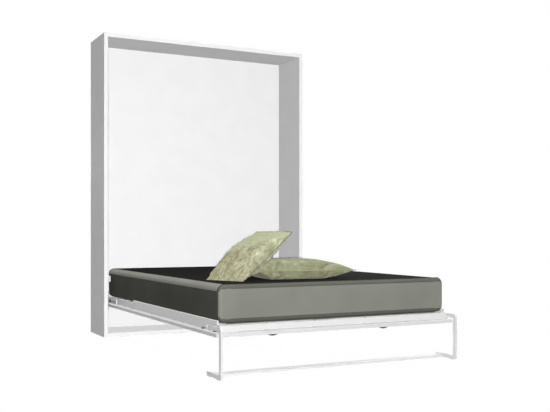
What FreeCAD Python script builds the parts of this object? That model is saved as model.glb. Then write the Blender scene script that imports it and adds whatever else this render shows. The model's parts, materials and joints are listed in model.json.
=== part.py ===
"""Vertical wall bed: a cabinet, a steel bed that tilts up into it, and a swinging floor leg.

Millimetres. X runs to the right, +Y to the wall, +Z up. The origin is on the floor,
under the middle of the cabinet. The bed is modelled lying open, resting on its leg.
"""
import FreeCAD, Part
import math
import os
import re
import Sketcher
from FreeCAD import Placement, Rotation, Vector

DOC = FreeCAD.newDocument("wall_bed")
SHEET = DOC.addObject("Spreadsheet::Sheet", "Sizes")

# Driving sizes
SIZES = {
    # cabinet boards
    "cab_width": 1660,
    "cab_depth": 350,
    "cab_height": 2200,
    "board": 28,
    "back_board": 12,
    "board_round": 1,
    "dowel_radius": 4,
    "dowel_in_side": 15,
    "dowel_in_shelf": 25,
    "dowel_inset": 65,
    "groove_play": 0.2,
    # wall brackets on top of the cabinet
    "bracket_leg": 40,
    "bracket_wide": 50,
    "bracket_thick": 3,
    "bracket_hole_radius": 3.5,
    "bracket_hole_up": 24,
    "bracket_from_end": 230,
    "bracket_screw_spread": 25,
    # tilt pivot
    "pivot_behind": 46,
    "pivot_height": 260,
    "plate_thick": 4,
    "plate_long": 150,
    "plate_wide": 84,
    "plate_round": 10,
    "plate_screw_inset": 14,
    "pin_radius": 8,
    "pin_shoulder_radius": 13,
    "running_play": 0.06,
    "side_play": 0.6,
    "bush_wall": 3,
    "bush_flange_radius": 13,
    "bush_flange_thick": 1.5,
    # bed frame
    "frame_side_room": 44.5,
    "frame_reach": 1800,
    "frame_back": 152,
    "frame_above_pivot": 14,
    "rail_high": 32,
    "rail_wide": 40,
    "rail_deep": 30,
    "rail_wall": 2,
    "rail_round": 3,
    "cap_plate": 2.5,
    "cap_plug": 14,
    "cap_play": 0.2,
    "gusset_side": 110,
    "gusset_thick": 3,
    # hinge arms on the side rails
    "arm_thick": 6,
    "arm_front": 120,
    "arm_back": 128,
    "arm_lip": 1,
    "arm_round": 8,
    "arm_bolt_radius": 4,
    "arm_bolt_grip": 10,
    "arm_head_radius": 6.5,
    "arm_head_high": 4,
    "arm_bolt_near": 52,
    "arm_bolt_far": 98,
    # slats
    "slat_wide": 68,
    "slat_thick": 8,
    "slat_end_in": 12.5,
    "slat_first": 46,
    "slat_last": 48,
    "slat_round": 3,
    "holder_base": 1.5,
    "holder_wall": 2.5,
    "holder_long": 44,
    "slat_play": 0.3,
    # front panel, which is the underside of the open bed
    "door_side_gap": 19.5,
    "door_beyond": 16,
    "door_thick": 20,
    "door_gap": 5,
    "door_foot_gap": 8,
    "door_round": 1.5,
    "spacer_radius": 15,
    "screw_radius": 2.5,
    "screw_play": 0.15,
    "screw_bite": 14,
    "screw_head_radius": 5,
    "screw_head_high": 2,
    # bow handles
    "handle_spread": 750,
    "handle_from_end": 136,
    "handle_chord": 96,
    "handle_drop": 28,
    "handle_bar_radius": 5,
    "handle_foot_radius": 9,
    "handle_foot_high": 3,
    "handle_screw_radius": 2,
    "handle_screw_bite": 4,
    "handle_head_radius": 4,
    "handle_head_high": 2.4,
    # floor leg
    "leg_bar_thick": 12,
    "leg_bar_wide": 22,
    "leg_beyond": 60,
    "leg_foot_long": 174,
    "leg_pivot_back": 170,
    "leg_pivot_up": 2.5,
    "leg_end_flat": 0.05,
    "leg_gap": 9,
    "leg_bend": 16,
    "leg_inner_bend": 6,
    "leg_bolt_radius": 5,
    "leg_bush_wall": 2,
    "leg_bolt_head_radius": 10,
    "leg_bolt_head_high": 5,
    "leg_bolt_inside": 14,
    "leg_nut_radius": 10,
    "leg_nut_high": 8,
    "leg_spacer_radius": 10.5,
    "pad_thick": 3,
    "pad_long": 34,
    "pad_inset": 6,
    "cross_deep": 60,
    "cross_thick": 12,
    "cross_drop": 11,
    "cross_wall": 2,
    "stop_radius": 4,
    "stop_from_pivot": 75,
    "stop_touch": 0.05,
    # gas struts
    "strut_from_side": 22,
    "strut_low_back": 104,
    "strut_low_below": 2,
    "strut_top_behind": 215,
    "strut_top_height": 505,
    "strut_tube_radius": 11,
    "strut_rod_shown": 50.4,
    "strut_tube_round": 1,
    "strut_tube_wall": 1.6,
    "strut_bore_spare": 3,
    "strut_gland_long": 14,
    "strut_gland_play": 0.5,
    "strut_rod_radius": 5,
    "strut_piston_long": 10,
    "strut_piston_play": 0.6,
    "strut_rod_from_top": 25.4,
    "strut_eye_radius": 10,
    "strut_eye_wide": 14,
    "strut_pin_radius": 5,
    "strut_neck": 14,
    "strut_clip_radius": 7.5,
    "strut_clip_thick": 2,
    "strut_open_gap": 0.5,
    "anchor_side": 50,
    "anchor_screw_inset": 6.5,
    # closing stops for the front panel
    "closing_stop_height": 400,
    "closing_stop_long": 40,
    "closing_stop_deep": 14,
    "closing_stop_out": 28,
    "closing_stop_round": 3,
    "closing_touch": 0.3,

    # side guards, a flat bar on edge along each side rail, lower at the head end
    "guard_thick": 9,
    "guard_high": 25,
    "guard_low": 9,
    "guard_foot_in": 30,
    "guard_head_in": 30,
    "guard_step_in": 577,
    "guard_round": 2,

    # mattress
    "mattress_side_in": 7.5,
    "mattress_foot_in": 22,
    "mattress_head_over": 20,
    "mattress_thick": 205,
    "mattress_edge": 34,
    "mattress_end_edge": 20,
    "soft_gap": 0.3,
    # pillows, each a lens with drawn-in sides, placed from the cabinet's front and the mattress
    "pillow_corner_thick": 10,
    "lying_long": 617,
    "lying_wide": 362,
    "lying_thick": 121,
    "lying_waist": 24,
    "lying_under_share": 0.34,
    "lying_x": -80,
    "lying_out": 1433,
    "lying_turn_angle": -10,
    "leaning_long": 592,
    "leaning_wide": 272,
    "leaning_thick": 114,
    "leaning_waist": 6,
    "leaning_under_share": 0.36,
    "leaning_over": 24.5,
    "leaning_back": 46,
    "leaning_turn_angle": 27.6,
    "leaning_slope_angle": 27,
}

# Places that follow from the driving sizes
FORMULAS = {
    "inner_half": "cab_width / 2 - board",
    "cab_front": "-cab_depth / 2",
    "pivot_y": "cab_front + pivot_behind",
    "bracket_spread": "cab_width - 2 * bracket_from_end",
    "frame_half": "inner_half - frame_side_room",
    "frame_top": "pivot_height + frame_above_pivot",
    "frame_bottom": "frame_top - rail_high",
    "frame_front": "cab_front - frame_reach",
    "frame_rear": "cab_front + frame_back",
    "door_top": "frame_bottom - door_gap",
    "door_bottom": "door_top - door_thick",
    "door_half": "inner_half - door_side_gap",
    "door_front": "frame_front - door_beyond",
    "door_rear": "cab_front + pivot_height + pivot_behind - board - door_foot_gap",
    "slat_reach": "frame_half - slat_end_in",
    "slat_bottom": "frame_top + holder_base",
    "slat_top": "slat_bottom + slat_thick",
    "mattress_bottom": "slat_top + soft_gap",
    "mattress_top": "mattress_bottom + mattress_thick",
    "mattress_front": "frame_front + mattress_foot_in",
    "mattress_rear": "frame_rear + mattress_head_over",
    "mattress_half": "frame_half - mattress_side_in",
    "leg_inner": "frame_half + leg_gap",
    "leg_outer": "leg_inner + leg_bar_thick",
    "leg_front_y": "frame_front - leg_beyond",
    "leg_pivot_y": "leg_front_y + leg_pivot_back",
    "leg_pivot_z": "frame_bottom + rail_high / 2 + leg_pivot_up",
    "leg_top": "leg_pivot_z + leg_bar_wide / 2",
    "foot_rear": "leg_front_y + leg_foot_long",
    "cross_top": "pad_thick + leg_bar_wide - cross_drop",
    "plate_inner": "inner_half - plate_thick",
    "arm_outer": "frame_half + arm_thick",
    "bush_radius": "pin_radius + bush_wall",
    "leg_bush_radius": "leg_bolt_radius + leg_bush_wall",
    "strut_x": "inner_half - strut_from_side",
    "strut_low_y": "pivot_y + strut_low_back",
    "strut_low_height": "pivot_height - strut_low_below",
    "strut_top_y": "cab_front + strut_top_behind",
    "strut_eye_inner": "strut_x - strut_eye_wide / 2",
    "strut_eye_outer": "strut_x + strut_eye_wide / 2",
    "closing_y": "cab_front + pivot_behind - pivot_height + door_top + closing_touch",
    "leaning_x": "lying_x - lying_long / 2 + leaning_over",
    "leaning_out": "lying_out - leaning_back",
}

# Counts and shares. A rail screw share picks one of the gaps between slats, from foot to head
SLAT_COUNT = 15
RAIL_SCREW_SHARES = (0, 0.23, 0.54, 0.77, 1)
END_SCREW_SHARES = (-0.62, -0.22, 0.22, 0.62)
PILLOW_STATION_SHARES = (-1, -0.93, -0.75, -0.4, 0, 0.4, 0.75, 0.93, 1)

# How near two places or two directions count as the same
SAME_PLACE = 0.001
SAME_WAY = 0.000001

NODES = []


def fill_sheet():
    """Write every driving size and every formula to the sheet, one alias each."""
    row = 1
    for alias, value in SIZES.items():
        SHEET.set(f"A{row}", alias)
        SHEET.set(f"B{row}", str(value))
        SHEET.setAlias(f"B{row}", alias)
        row += 1
    for alias, formula in FORMULAS.items():
        SHEET.set(f"A{row}", alias)
        SHEET.set(f"B{row}", "=" + formula)
        SHEET.setAlias(f"B{row}", alias)
        row += 1
    DOC.recompute()


def size(alias):
    """The number that the sheet holds under an alias."""
    return float(SHEET.get(alias))


def number(formula):
    """The value of a formula in aliases, worked out by the sheet itself."""
    return float(SHEET.evalExpression(str(formula)))


def linked(formula):
    """A formula with each alias written as the sheet's own property."""
    return re.sub(r"[a-z][a-z_]+", lambda word: "Sizes." + word.group(0), str(formula))


def bind(thing, **formulas):
    """Tie properties of an object to formulas in aliases."""
    for name, formula in formulas.items():
        thing.setExpression(name, linked(formula))


def place(thing, at):
    """Tie an object's position to three formulas."""
    for letter, formula in zip("xyz", at):
        thing.setExpression("Placement.Base." + letter, linked(formula))


def keep(name, thing):
    """Record a finished sub-part under its name."""
    thing.Label = name
    NODES.append((name, thing))
    return thing


def box(low, spans):
    """A box from its low corner and its three spans."""
    thing = DOC.addObject("Part::Box", "Block")
    bind(thing, Length=spans[0], Width=spans[1], Height=spans[2])
    place(thing, low)
    return thing


TURNS = {
    "x": Rotation(Vector(0, 1, 0), 90),
    "y": Rotation(Vector(1, 0, 0), -90),
    "z": Rotation(),
}


def rod(axis, start, radius, length):
    """A round bar along an axis, from the middle of its low end."""
    thing = DOC.addObject("Part::Cylinder", "Bar")
    bind(thing, Radius=radius, Height=length)
    thing.Placement = Placement(Vector(), TURNS[axis])
    place(thing, start)
    return thing


def hexagon(axis, start, radius, length):
    """A six-sided bar along an axis."""
    thing = DOC.addObject("Part::Prism", "Nut")
    thing.Polygon = 6
    bind(thing, Circumradius=radius, Height=length)
    thing.Placement = Placement(Vector(), TURNS[axis])
    place(thing, start)
    return thing


def fused(things):
    """One solid from solids that meet."""
    thing = DOC.addObject("Part::MultiFuse", "Union")
    thing.Shapes = things
    thing.Refine = True
    return thing


def cut(base, tools):
    """A solid with others taken out of it."""
    tool = tools[0]
    if len(tools) > 1:
        tool = DOC.addObject("Part::Compound", "Tools")
        tool.Links = tools
    thing = DOC.addObject("Part::Cut", "Cut")
    thing.Base = base
    thing.Tool = tool
    return thing


def group(things):
    """Separate solids kept as one sub-part."""
    thing = DOC.addObject("Part::Compound", "Set")
    thing.Links = things
    return thing


def mirrored(source):
    """The same shape on the other side of the middle plane."""
    thing = DOC.addObject("Part::Mirroring", "Mirror")
    thing.Source = source
    thing.Normal = Vector(1, 0, 0)
    thing.Base = Vector()
    return thing


def rounded(base, radius, wanted):
    """A solid whose edges that pass a test are filleted."""
    DOC.recompute()
    value = number(radius)
    edges = []
    for place_in_list, edge in enumerate(base.Shape.Edges, start=1):
        if wanted(edge):
            edges.append((place_in_list, value, value))
    thing = DOC.addObject("Part::Fillet", "Rounded")
    thing.Base = base
    thing.Edges = edges
    return thing


def runs_along(axis):
    """A test for straight edges along an axis."""
    def test(edge):
        if edge.Curve.TypeId != "Part::GeomLine":
            return False
        return edge.Curve.Direction.cross(axis).Length < SAME_WAY
    return test


def both_sides(name, right):
    """Keep a right-hand sub-part and its mirror image on the left."""
    keep(name + "_right", right)
    keep(name + "_left", mirrored(right))


def sketch_on(body, role, offset):
    """A sketch on one of a body's own planes, moved along the plane's normal."""
    plane = next(part for part in body.Origin.OriginFeatures if part.Role == role)
    sketch = body.newObject("Sketcher::SketchObject", body.Name + "_outline")
    sketch.AttachmentSupport = [(plane, "")]
    sketch.MapMode = "FlatFace"
    sketch.setExpression("AttachmentOffset.Base.z", linked(offset))
    return sketch


def outline(sketch, corners):
    """A closed outline whose corners are each tied to two formulas."""
    points = [Vector(number(across), number(along), 0) for across, along in corners]
    count = len(points)
    first = sketch.GeometryCount
    for index in range(count):
        line = Part.LineSegment(points[index], points[(index + 1) % count])
        sketch.addGeometry(line, False)
    for index in range(count):
        follower = first + (index + 1) % count
        sketch.addConstraint(Sketcher.Constraint("Coincident", first + index, 2, follower, 1))
    for index, (across, along) in enumerate(corners):
        for kind, formula, value in (
            ("DistanceX", across, points[index].x),
            ("DistanceY", along, points[index].y),
        ):
            constraint = Sketcher.Constraint(kind, -1, 1, first + index, 1, value)
            place_in_list = sketch.addConstraint(constraint)
            name = f"{kind[-1].lower()}{first + index}"
            sketch.renameConstraint(place_in_list, name)
            sketch.setExpression("Constraints." + name, linked(formula))


def padded(body, sketch, length):
    """The sketch of a body pushed out along its normal."""
    pad = body.newObject("PartDesign::Pad", body.Name + "_pad")
    pad.Profile = sketch
    pad.setExpression("Length", linked(length))
    return pad


def body_fillet(body, feature, radius, wanted):
    """A fillet on the edges of a body's feature that pass a test."""
    DOC.recompute()
    names = []
    for place_in_list, edge in enumerate(feature.Shape.Edges, start=1):
        if wanted(edge):
            names.append(f"Edge{place_in_list}")
    fillet = body.newObject("PartDesign::Fillet", body.Name + "_round")
    fillet.Base = (feature, names)
    fillet.setExpression("Radius", linked(radius))
    return fillet


# Cabinet

def dowel_places():
    """The row of dowels down one end of a shelf board."""
    return ("cab_front + dowel_inset", "0", "-cab_front - dowel_inset")


def make_boards():
    """Side, top, base and back boards with the dowels that join them."""
    dowels = []
    shelf_levels = {"top": "cab_height - board", "base": "0"}
    shelf_holes = {"top": [], "base": []}
    side_holes = []
    for shelf, low in shelf_levels.items():
        for y in dowel_places():
            start = ("inner_half - dowel_in_shelf", y, f"{low} + board / 2")
            length = "dowel_in_shelf + dowel_in_side"
            for holder in (dowels, side_holes, shelf_holes[shelf]):
                holder.append(rod("x", start, "dowel_radius", length))
    for shelf, holes in shelf_holes.items():
        low = shelf_levels[shelf]
        board = box(("-inner_half", "cab_front", low), ("2 * inner_half", "cab_depth", "board"))
        soft = rounded(board, "board_round", runs_along(Vector(1, 0, 0)))
        both = holes + [mirrored(group(holes))]
        keep(shelf + "_panel", cut(soft, both))
    side = box(("inner_half", "cab_front", "0"), ("board", "cab_depth", "cab_height"))
    soft_side = rounded(side, "board_round", runs_along(Vector(0, 0, 1)))
    screw_holes = [rod("x", at, "screw_radius + screw_play", "screw_bite")
                   for at in side_screw_places()]
    both_sides("side_panel", cut(soft_side, side_holes + screw_holes))
    right_dowels = group(dowels)
    keep("panel_dowels", group([right_dowels, mirrored(right_dowels)]))
    back = box(
        ("-inner_half + groove_play", "-cab_front - back_board", "board + groove_play"),
        ("2 * (inner_half - groove_play)", "back_board", "cab_height - 2 * (board + groove_play)"),
    )
    keep("back_panel", back)


def plate_screw_places():
    """The screws that hold a hinge plate to its side board."""
    places = []
    for along in (-1, 1):
        for up in (-1, 0, 1):
            y = f"pivot_y + {along} * (plate_wide / 2 - plate_screw_inset)"
            z = f"pivot_height + {up} * (plate_long / 2 - plate_screw_inset)"
            places.append(("inner_half", y, z))
    return places


def anchor_screw_places():
    """The screws that hold a strut anchor to its side board."""
    places = []
    for along in (-1, 1):
        for up in (-1, 1):
            y = f"strut_top_y + {along} * (anchor_side / 2 - anchor_screw_inset)"
            z = f"strut_top_height + {up} * (anchor_side / 2 - anchor_screw_inset)"
            places.append(("inner_half", y, z))
    return places


def side_screw_places():
    """Every screw that enters a side board from inside the cabinet."""
    return plate_screw_places() + anchor_screw_places()


def inward(at):
    """The same place on the inner face of the steel plate."""
    return ("plate_inner", at[1], at[2])


def side_screw(at):
    """A pan-head screw through a steel plate into a side board."""
    shank = rod("x", inward(at), "screw_radius", "plate_thick + screw_bite")
    head_start = ("plate_inner - screw_head_high", at[1], at[2])
    head = rod("x", head_start, "screw_head_radius", "screw_head_high")
    return fused([shank, head])


def screw_hole(at):
    """A clear hole for such a screw through its plate."""
    return rod("x", inward(at), "screw_radius + screw_play", "plate_thick")


def make_hinge_plates():
    """Steel plates with the tilt pins, screwed to the side boards."""
    plate = box(
        ("plate_inner", "pivot_y - plate_wide / 2", "pivot_height - plate_long / 2"),
        ("plate_thick", "plate_wide", "plate_long"),
    )
    soft = rounded(plate, "plate_round", runs_along(Vector(1, 0, 0)))
    both_sides("hinge_plate", cut(soft, [screw_hole(at) for at in plate_screw_places()]))
    shoulder_start = "arm_outer + bush_flange_thick + side_play"
    shoulder = rod("x", (shoulder_start, "pivot_y", "pivot_height"), "pin_shoulder_radius",
                   f"plate_inner - ({shoulder_start})")
    shank = rod("x", ("frame_half + running_play", "pivot_y", "pivot_height"), "pin_radius",
                "arm_thick + bush_flange_thick + side_play")
    both_sides("tilt_pin", fused([shoulder, shank]))


def make_strut_anchors():
    """Plates with the upper strut pins, on the side boards."""
    half = "anchor_side / 2"
    plate = box(
        ("plate_inner", f"strut_top_y - {half}", f"strut_top_height - {half}"),
        ("plate_thick", "anchor_side", "anchor_side"),
    )
    soft = rounded(plate, "plate_round", runs_along(Vector(1, 0, 0)))
    bored = cut(soft, [screw_hole(at) for at in anchor_screw_places()])
    centre = ("strut_top_y", "strut_top_height")
    pin_start = "strut_eye_inner - strut_clip_thick - running_play"
    pin = rod("x", (pin_start, *centre), "strut_pin_radius", f"plate_inner - ({pin_start})")
    clip = rod("x", (pin_start, *centre), "strut_clip_radius", "strut_clip_thick")
    collar_start = "strut_eye_outer + side_play"
    collar = rod("x", (collar_start, *centre), "strut_clip_radius",
                 f"plate_inner - ({collar_start})")
    both_sides("strut_anchor", fused([bored, pin, clip, collar]))


def make_side_screws():
    """All screws into the side boards, as one set."""
    right = group([side_screw(at) for at in side_screw_places()])
    keep("side_board_screws", group([right, mirrored(right)]))


def make_closing_stops():
    """Rubber blocks that the closed front panel comes to rest against."""
    block = box(
        ("inner_half - closing_stop_out", "closing_y", "closing_stop_height"),
        ("closing_stop_out", "closing_stop_deep", "closing_stop_long"),
    )
    both_sides("closing_stop", rounded(block, "closing_stop_round", runs_along(Vector(0, 0, 1))))


def make_wall_brackets():
    """Steel angles on the cabinet's top, with one hole each for a wall screw."""
    left_edge = "bracket_spread / 2 - bracket_wide / 2"
    flat = box((left_edge, "-cab_front - bracket_leg", "cab_height"),
               ("bracket_wide", "bracket_leg", "bracket_thick"))
    upright = box((left_edge, "-cab_front - bracket_thick", "cab_height"),
                  ("bracket_wide", "bracket_thick", "bracket_leg"))
    wall_hole = rod(
        "y",
        ("bracket_spread / 2", "-cab_front - bracket_thick", "cab_height + bracket_hole_up"),
        "bracket_hole_radius", "bracket_thick",
    )
    board_holes = []
    screws = []
    for side in (-1, 1):
        x = f"bracket_spread / 2 + {side} * bracket_screw_spread / 2"
        y = "-cab_front - bracket_leg / 2"
        board_holes.append(rod("z", (x, y, "cab_height"), "screw_radius + screw_play",
                               "bracket_thick"))
        head = rod("z", (x, y, "cab_height + bracket_thick"), "screw_head_radius",
                   "screw_head_high")
        shank = rod("z", (x, y, "cab_height"), "screw_radius", "bracket_thick")
        screws.append(fused([head, shank]))
    both_sides("wall_bracket", cut(fused([flat, upright]), [wall_hole] + board_holes))
    right = group(screws)
    keep("wall_bracket_screws", group([right, mirrored(right)]))


# Bed frame

def tube(name, role, offset, length, across, along, wall="rail_wall"):
    """A rectangular steel tube, whose outline holds its bore."""
    body = DOC.addObject("PartDesign::Body", name)
    outer = sketch_on(body, role, offset)
    corners = [(across[0], along[0]), (across[1], along[0]),
               (across[1], along[1]), (across[0], along[1])]
    outline(outer, corners)
    bore = [(f"{across[0]} + {wall}", f"{along[0]} + {wall}"),
            (f"{across[1]} - {wall}", f"{along[0]} + {wall}"),
            (f"{across[1]} - {wall}", f"{along[1]} - {wall}"),
            (f"{across[0]} + {wall}", f"{along[1]} - {wall}")]
    outline(outer, bore)
    padded(body, outer, length)
    return body


def rail_screw_places(rail):
    """The front panel screws that go through one rail."""
    end_lines = {"foot": "frame_front + rail_deep / 2", "head": "frame_rear - rail_deep / 2"}
    if rail in end_lines:
        return [(f"{share} * frame_half", end_lines[rail]) for share in END_SCREW_SHARES]
    sign = {"left": -1, "right": 1}[rail]
    x = f"{sign} * (frame_half - rail_wide / 2)"
    fronts = slat_fronts()
    gaps = [round(share * (SLAT_COUNT - 2)) for share in RAIL_SCREW_SHARES]
    return [(x, f"({fronts[gap]} + slat_wide + {fronts[gap + 1]}) / 2") for gap in gaps]


def door_screw_places():
    """Every screw that holds the front panel under the frame."""
    return [at for rail in ("left", "right", "foot", "head") for at in rail_screw_places(rail)]


def screw_bore(at, low, high):
    """A clear hole for a front panel screw between two levels."""
    return rod("z", (at[0], at[1], low), "screw_radius + screw_play", f"{high} - ({low})")


def rail_holes(rail):
    """The holes through one rail for its front panel screws."""
    return [screw_bore(at, "frame_bottom", "frame_top") for at in rail_screw_places(rail)]


def make_rails():
    """Two side rails between a foot rail and a head rail, and a centre beam."""
    length = "frame_rear - frame_front - 2 * rail_deep"
    sides = {"right": (1, ("frame_half - rail_wide", "frame_half")),
             "left": (-1, ("-frame_half", "-frame_half + rail_wide"))}
    levels = ("frame_bottom", "frame_top")
    for rail, (sign, across) in sides.items():
        name = "side_rail_" + rail
        body = tube(name + "_tube", "XZ_Plane", "-(frame_rear - rail_deep)", length, across, levels)
        wall = f"{sign} * (frame_half - rail_wall / 2) - rail_wall"
        holes = [rod("x", (wall, "leg_pivot_y", "leg_pivot_z"), "leg_bolt_radius",
                     "2 * rail_wall")]
        for y, z in arm_bolt_places():
            holes.append(rod("x", (wall, y, z), "arm_bolt_radius", "2 * rail_wall"))
        for y in stop_places():
            holes.append(rod("x", (wall, y, stop_height()), "stop_radius", "2 * rail_wall"))
        keep(name, cut(body, rail_holes(rail) + holes))
    inside = "frame_half - cap_plate"
    for rail, front in (("foot", "frame_front"), ("head", "frame_rear - rail_deep")):
        name = rail + "_rail"
        body = tube(name + "_tube", "YZ_Plane", f"-({inside})", f"2 * ({inside})",
                    (front, f"{front} + rail_deep"), levels)
        keep(name, cut(body, rail_holes(rail)))
    beam = tube("centre_beam_tube", "XZ_Plane", "-(frame_rear - rail_deep)", length,
                ("-rail_deep / 2", "rail_deep / 2"), levels)
    keep("centre_beam", beam)


def make_rail_caps():
    """Plastic plugs that close the ends of the foot and head rails."""
    plugs = []
    for front in ("frame_front", "frame_rear - rail_deep"):
        face = box(("frame_half - cap_plate", front, "frame_bottom"),
                   ("cap_plate", "rail_deep", "rail_high"))
        wall = "rail_wall + cap_play"
        plug = box(
            ("frame_half - cap_plate - cap_plug", f"{front} + {wall}", f"frame_bottom + {wall}"),
            ("cap_plug", f"rail_deep - 2 * ({wall})", f"rail_high - 2 * ({wall})"),
        )
        plugs.append(fused([face, plug]))
    right = group(plugs)
    keep("rail_end_caps", group([right, mirrored(right)]))


def make_gussets():
    """Triangular plates welded under the frame's four corners."""
    solids = []
    for name, edge, sign in (("foot", "frame_front", 1), ("head", "frame_rear", -1)):
        body = DOC.addObject("PartDesign::Body", "gusset_" + name)
        sketch = sketch_on(body, "XY_Plane", "frame_bottom - gusset_thick")
        start = "frame_half - cap_plate"
        corners = [(start, edge), (f"{start} - gusset_side", edge),
                   (start, f"{edge} + {sign} * gusset_side")]
        outline(sketch, corners)
        padded(body, sketch, "gusset_thick")
        solids.append(body)
    right = group(solids)
    keep("corner_gussets", group([right, mirrored(right)]))


def arm_bolt_places():
    """The bolts that hold a hinge arm to its side rail."""
    middle = "frame_bottom + rail_high / 2"
    lines = ("pivot_y - arm_bolt_near", "pivot_y - arm_bolt_far", "pivot_y + arm_bolt_near")
    return [(y, middle) for y in lines]


def make_hinge_arms():
    """Steel arms on the side rails, with the bush of the tilt pin and the strut stud."""
    body = DOC.addObject("PartDesign::Body", "hinge_arm_plate")
    sketch = sketch_on(body, "YZ_Plane", "frame_half")
    low = "frame_bottom"
    high = "frame_top - arm_lip"
    outline(sketch, [("pivot_y - arm_front", low), ("pivot_y + arm_back", low),
                     ("pivot_y + arm_back", high), ("pivot_y - arm_front", high)])
    pad = padded(body, sketch, "arm_thick")
    body_fillet(body, pad, "arm_round", runs_along(Vector(1, 0, 0)))
    centre = ("pivot_y", "pivot_height")
    bore = rod("x", ("frame_half", *centre), "bush_radius", "arm_thick")
    holes = [rod("x", ("frame_half", y, z), "arm_bolt_radius", "arm_thick")
             for y, z in arm_bolt_places()]
    stud = rod("x", ("frame_half", "strut_low_y", "strut_low_height"), "strut_pin_radius",
               "strut_eye_inner - strut_open_gap - frame_half")
    both_sides("hinge_arm", fused([cut(body, [bore] + holes), stud]))
    sleeve = rod("x", ("frame_half", *centre), "bush_radius", "arm_thick")
    flange = rod("x", ("arm_outer", *centre), "bush_flange_radius", "bush_flange_thick")
    inside = rod("x", ("frame_half", *centre), "pin_radius + running_play",
                 "arm_thick + bush_flange_thick")
    both_sides("tilt_bush", cut(fused([sleeve, flange]), [inside]))
    bolts = []
    for y, z in arm_bolt_places():
        shank = rod("x", ("arm_outer - arm_bolt_grip", y, z), "arm_bolt_radius", "arm_bolt_grip")
        head = hexagon("x", ("arm_outer", y, z), "arm_head_radius", "arm_head_high")
        bolts.append(fused([shank, head]))
    right = group(bolts)
    keep("hinge_arm_bolts", group([right, mirrored(right)]))


# Slats

def slat_fronts():
    """The front edge of every slat, evenly spaced along the frame."""
    first = "frame_front + slat_first"
    run = "(frame_rear - slat_last - slat_wide - frame_front - slat_first)"
    return [f"{first} + {index} * {run} / {SLAT_COUNT - 1}" for index in range(SLAT_COUNT)]


def make_side_guards():
    """A bar on edge along each side rail, which holds slats and mattress from the side."""
    start = ("frame_half - guard_thick", "frame_front + guard_foot_in", "frame_top")
    run = "frame_rear - frame_front - guard_foot_in"
    low_part = box(start, ("guard_thick", f"{run} - guard_head_in", "guard_low"))
    high_part = box(start, ("guard_thick", f"{run} - guard_step_in", "guard_high"))
    top = number("frame_top + guard_high")
    both_sides("side_guard", rounded(
        fused([low_part, high_part]), "guard_round",
        lambda edge: edge.BoundBox.ZMin > top - SAME_PLACE))


def make_slats():
    """Sprung wooden slats in plastic end holders, with a rest on the centre beam."""
    slats = []
    holders = []
    rests = []
    for front in slat_fronts():
        slat = box(("-slat_reach", front, "slat_bottom"),
                   ("2 * slat_reach", "slat_wide", "slat_thick"))
        slats.append(rounded(slat, "slat_round", runs_along(Vector(1, 0, 0))))
        border = "holder_wall + slat_play"
        shell = box(
            ("slat_reach - holder_long", f"{front} - ({border})", "frame_top"),
            (f"holder_long + {border}", f"slat_wide + 2 * ({border})",
             "holder_base + slat_thick - slat_play"),
        )
        room = box(
            ("slat_reach - holder_long", f"{front} - slat_play", "slat_bottom"),
            ("holder_long + slat_play", "slat_wide + 2 * slat_play", "slat_thick"),
        )
        holders.append(cut(shell, [room]))
        rests.append(box(("-rail_deep / 2", front, "frame_top"),
                         ("rail_deep", "slat_wide", "holder_base")))
    keep("slats", group(slats))
    both_sides("slat_holders", group(holders))
    keep("slat_rests", group(rests))


# Front panel with its handles

def handle_foot_places():
    """The four points where the bow handles stand on the front panel."""
    y = "door_front + handle_from_end"
    places = []
    for handle in (-1, 1):
        for foot in (-1, 1):
            places.append((f"{handle} * handle_spread / 2 + {foot} * handle_chord / 2", y))
    return places


def make_front_panel():
    """The board that closes the cabinet, which lies under the open bed."""
    board = box(("-door_half", "door_front", "door_bottom"),
                ("2 * door_half", "door_rear - door_front", "door_thick"))
    soft = rounded(board, "door_round", lambda edge: True)
    low = "door_top - screw_bite"
    holes = [screw_bore(at, low, "door_top") for at in door_screw_places()]
    for at in handle_foot_places():
        through = rod("z", (at[0], at[1], "door_bottom"), "handle_screw_radius + screw_play",
                      "door_thick")
        sunk = rod("z", (at[0], at[1], "door_top - handle_head_high"),
                   "handle_head_radius + screw_play", "handle_head_high")
        holes += [through, sunk]
    keep("front_panel", cut(soft, holes))


def make_panel_fixings():
    """Spacers between the frame and the front panel, and the screws through them."""
    spacers = []
    screws = []
    for at in door_screw_places():
        disc = rod("z", (at[0], at[1], "door_top"), "spacer_radius", "door_gap")
        spacers.append(cut(disc, [screw_bore(at, "door_top", "frame_bottom")]))
        shank = rod("z", (at[0], at[1], "door_top - screw_bite"), "screw_radius",
                    "frame_top - door_top + screw_bite")
        head = rod("z", (at[0], at[1], "frame_top"), "screw_head_radius", "screw_head_high")
        screws.append(fused([shank, head]))
    keep("panel_spacers", group(spacers))
    keep("panel_screws", group(screws))


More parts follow.
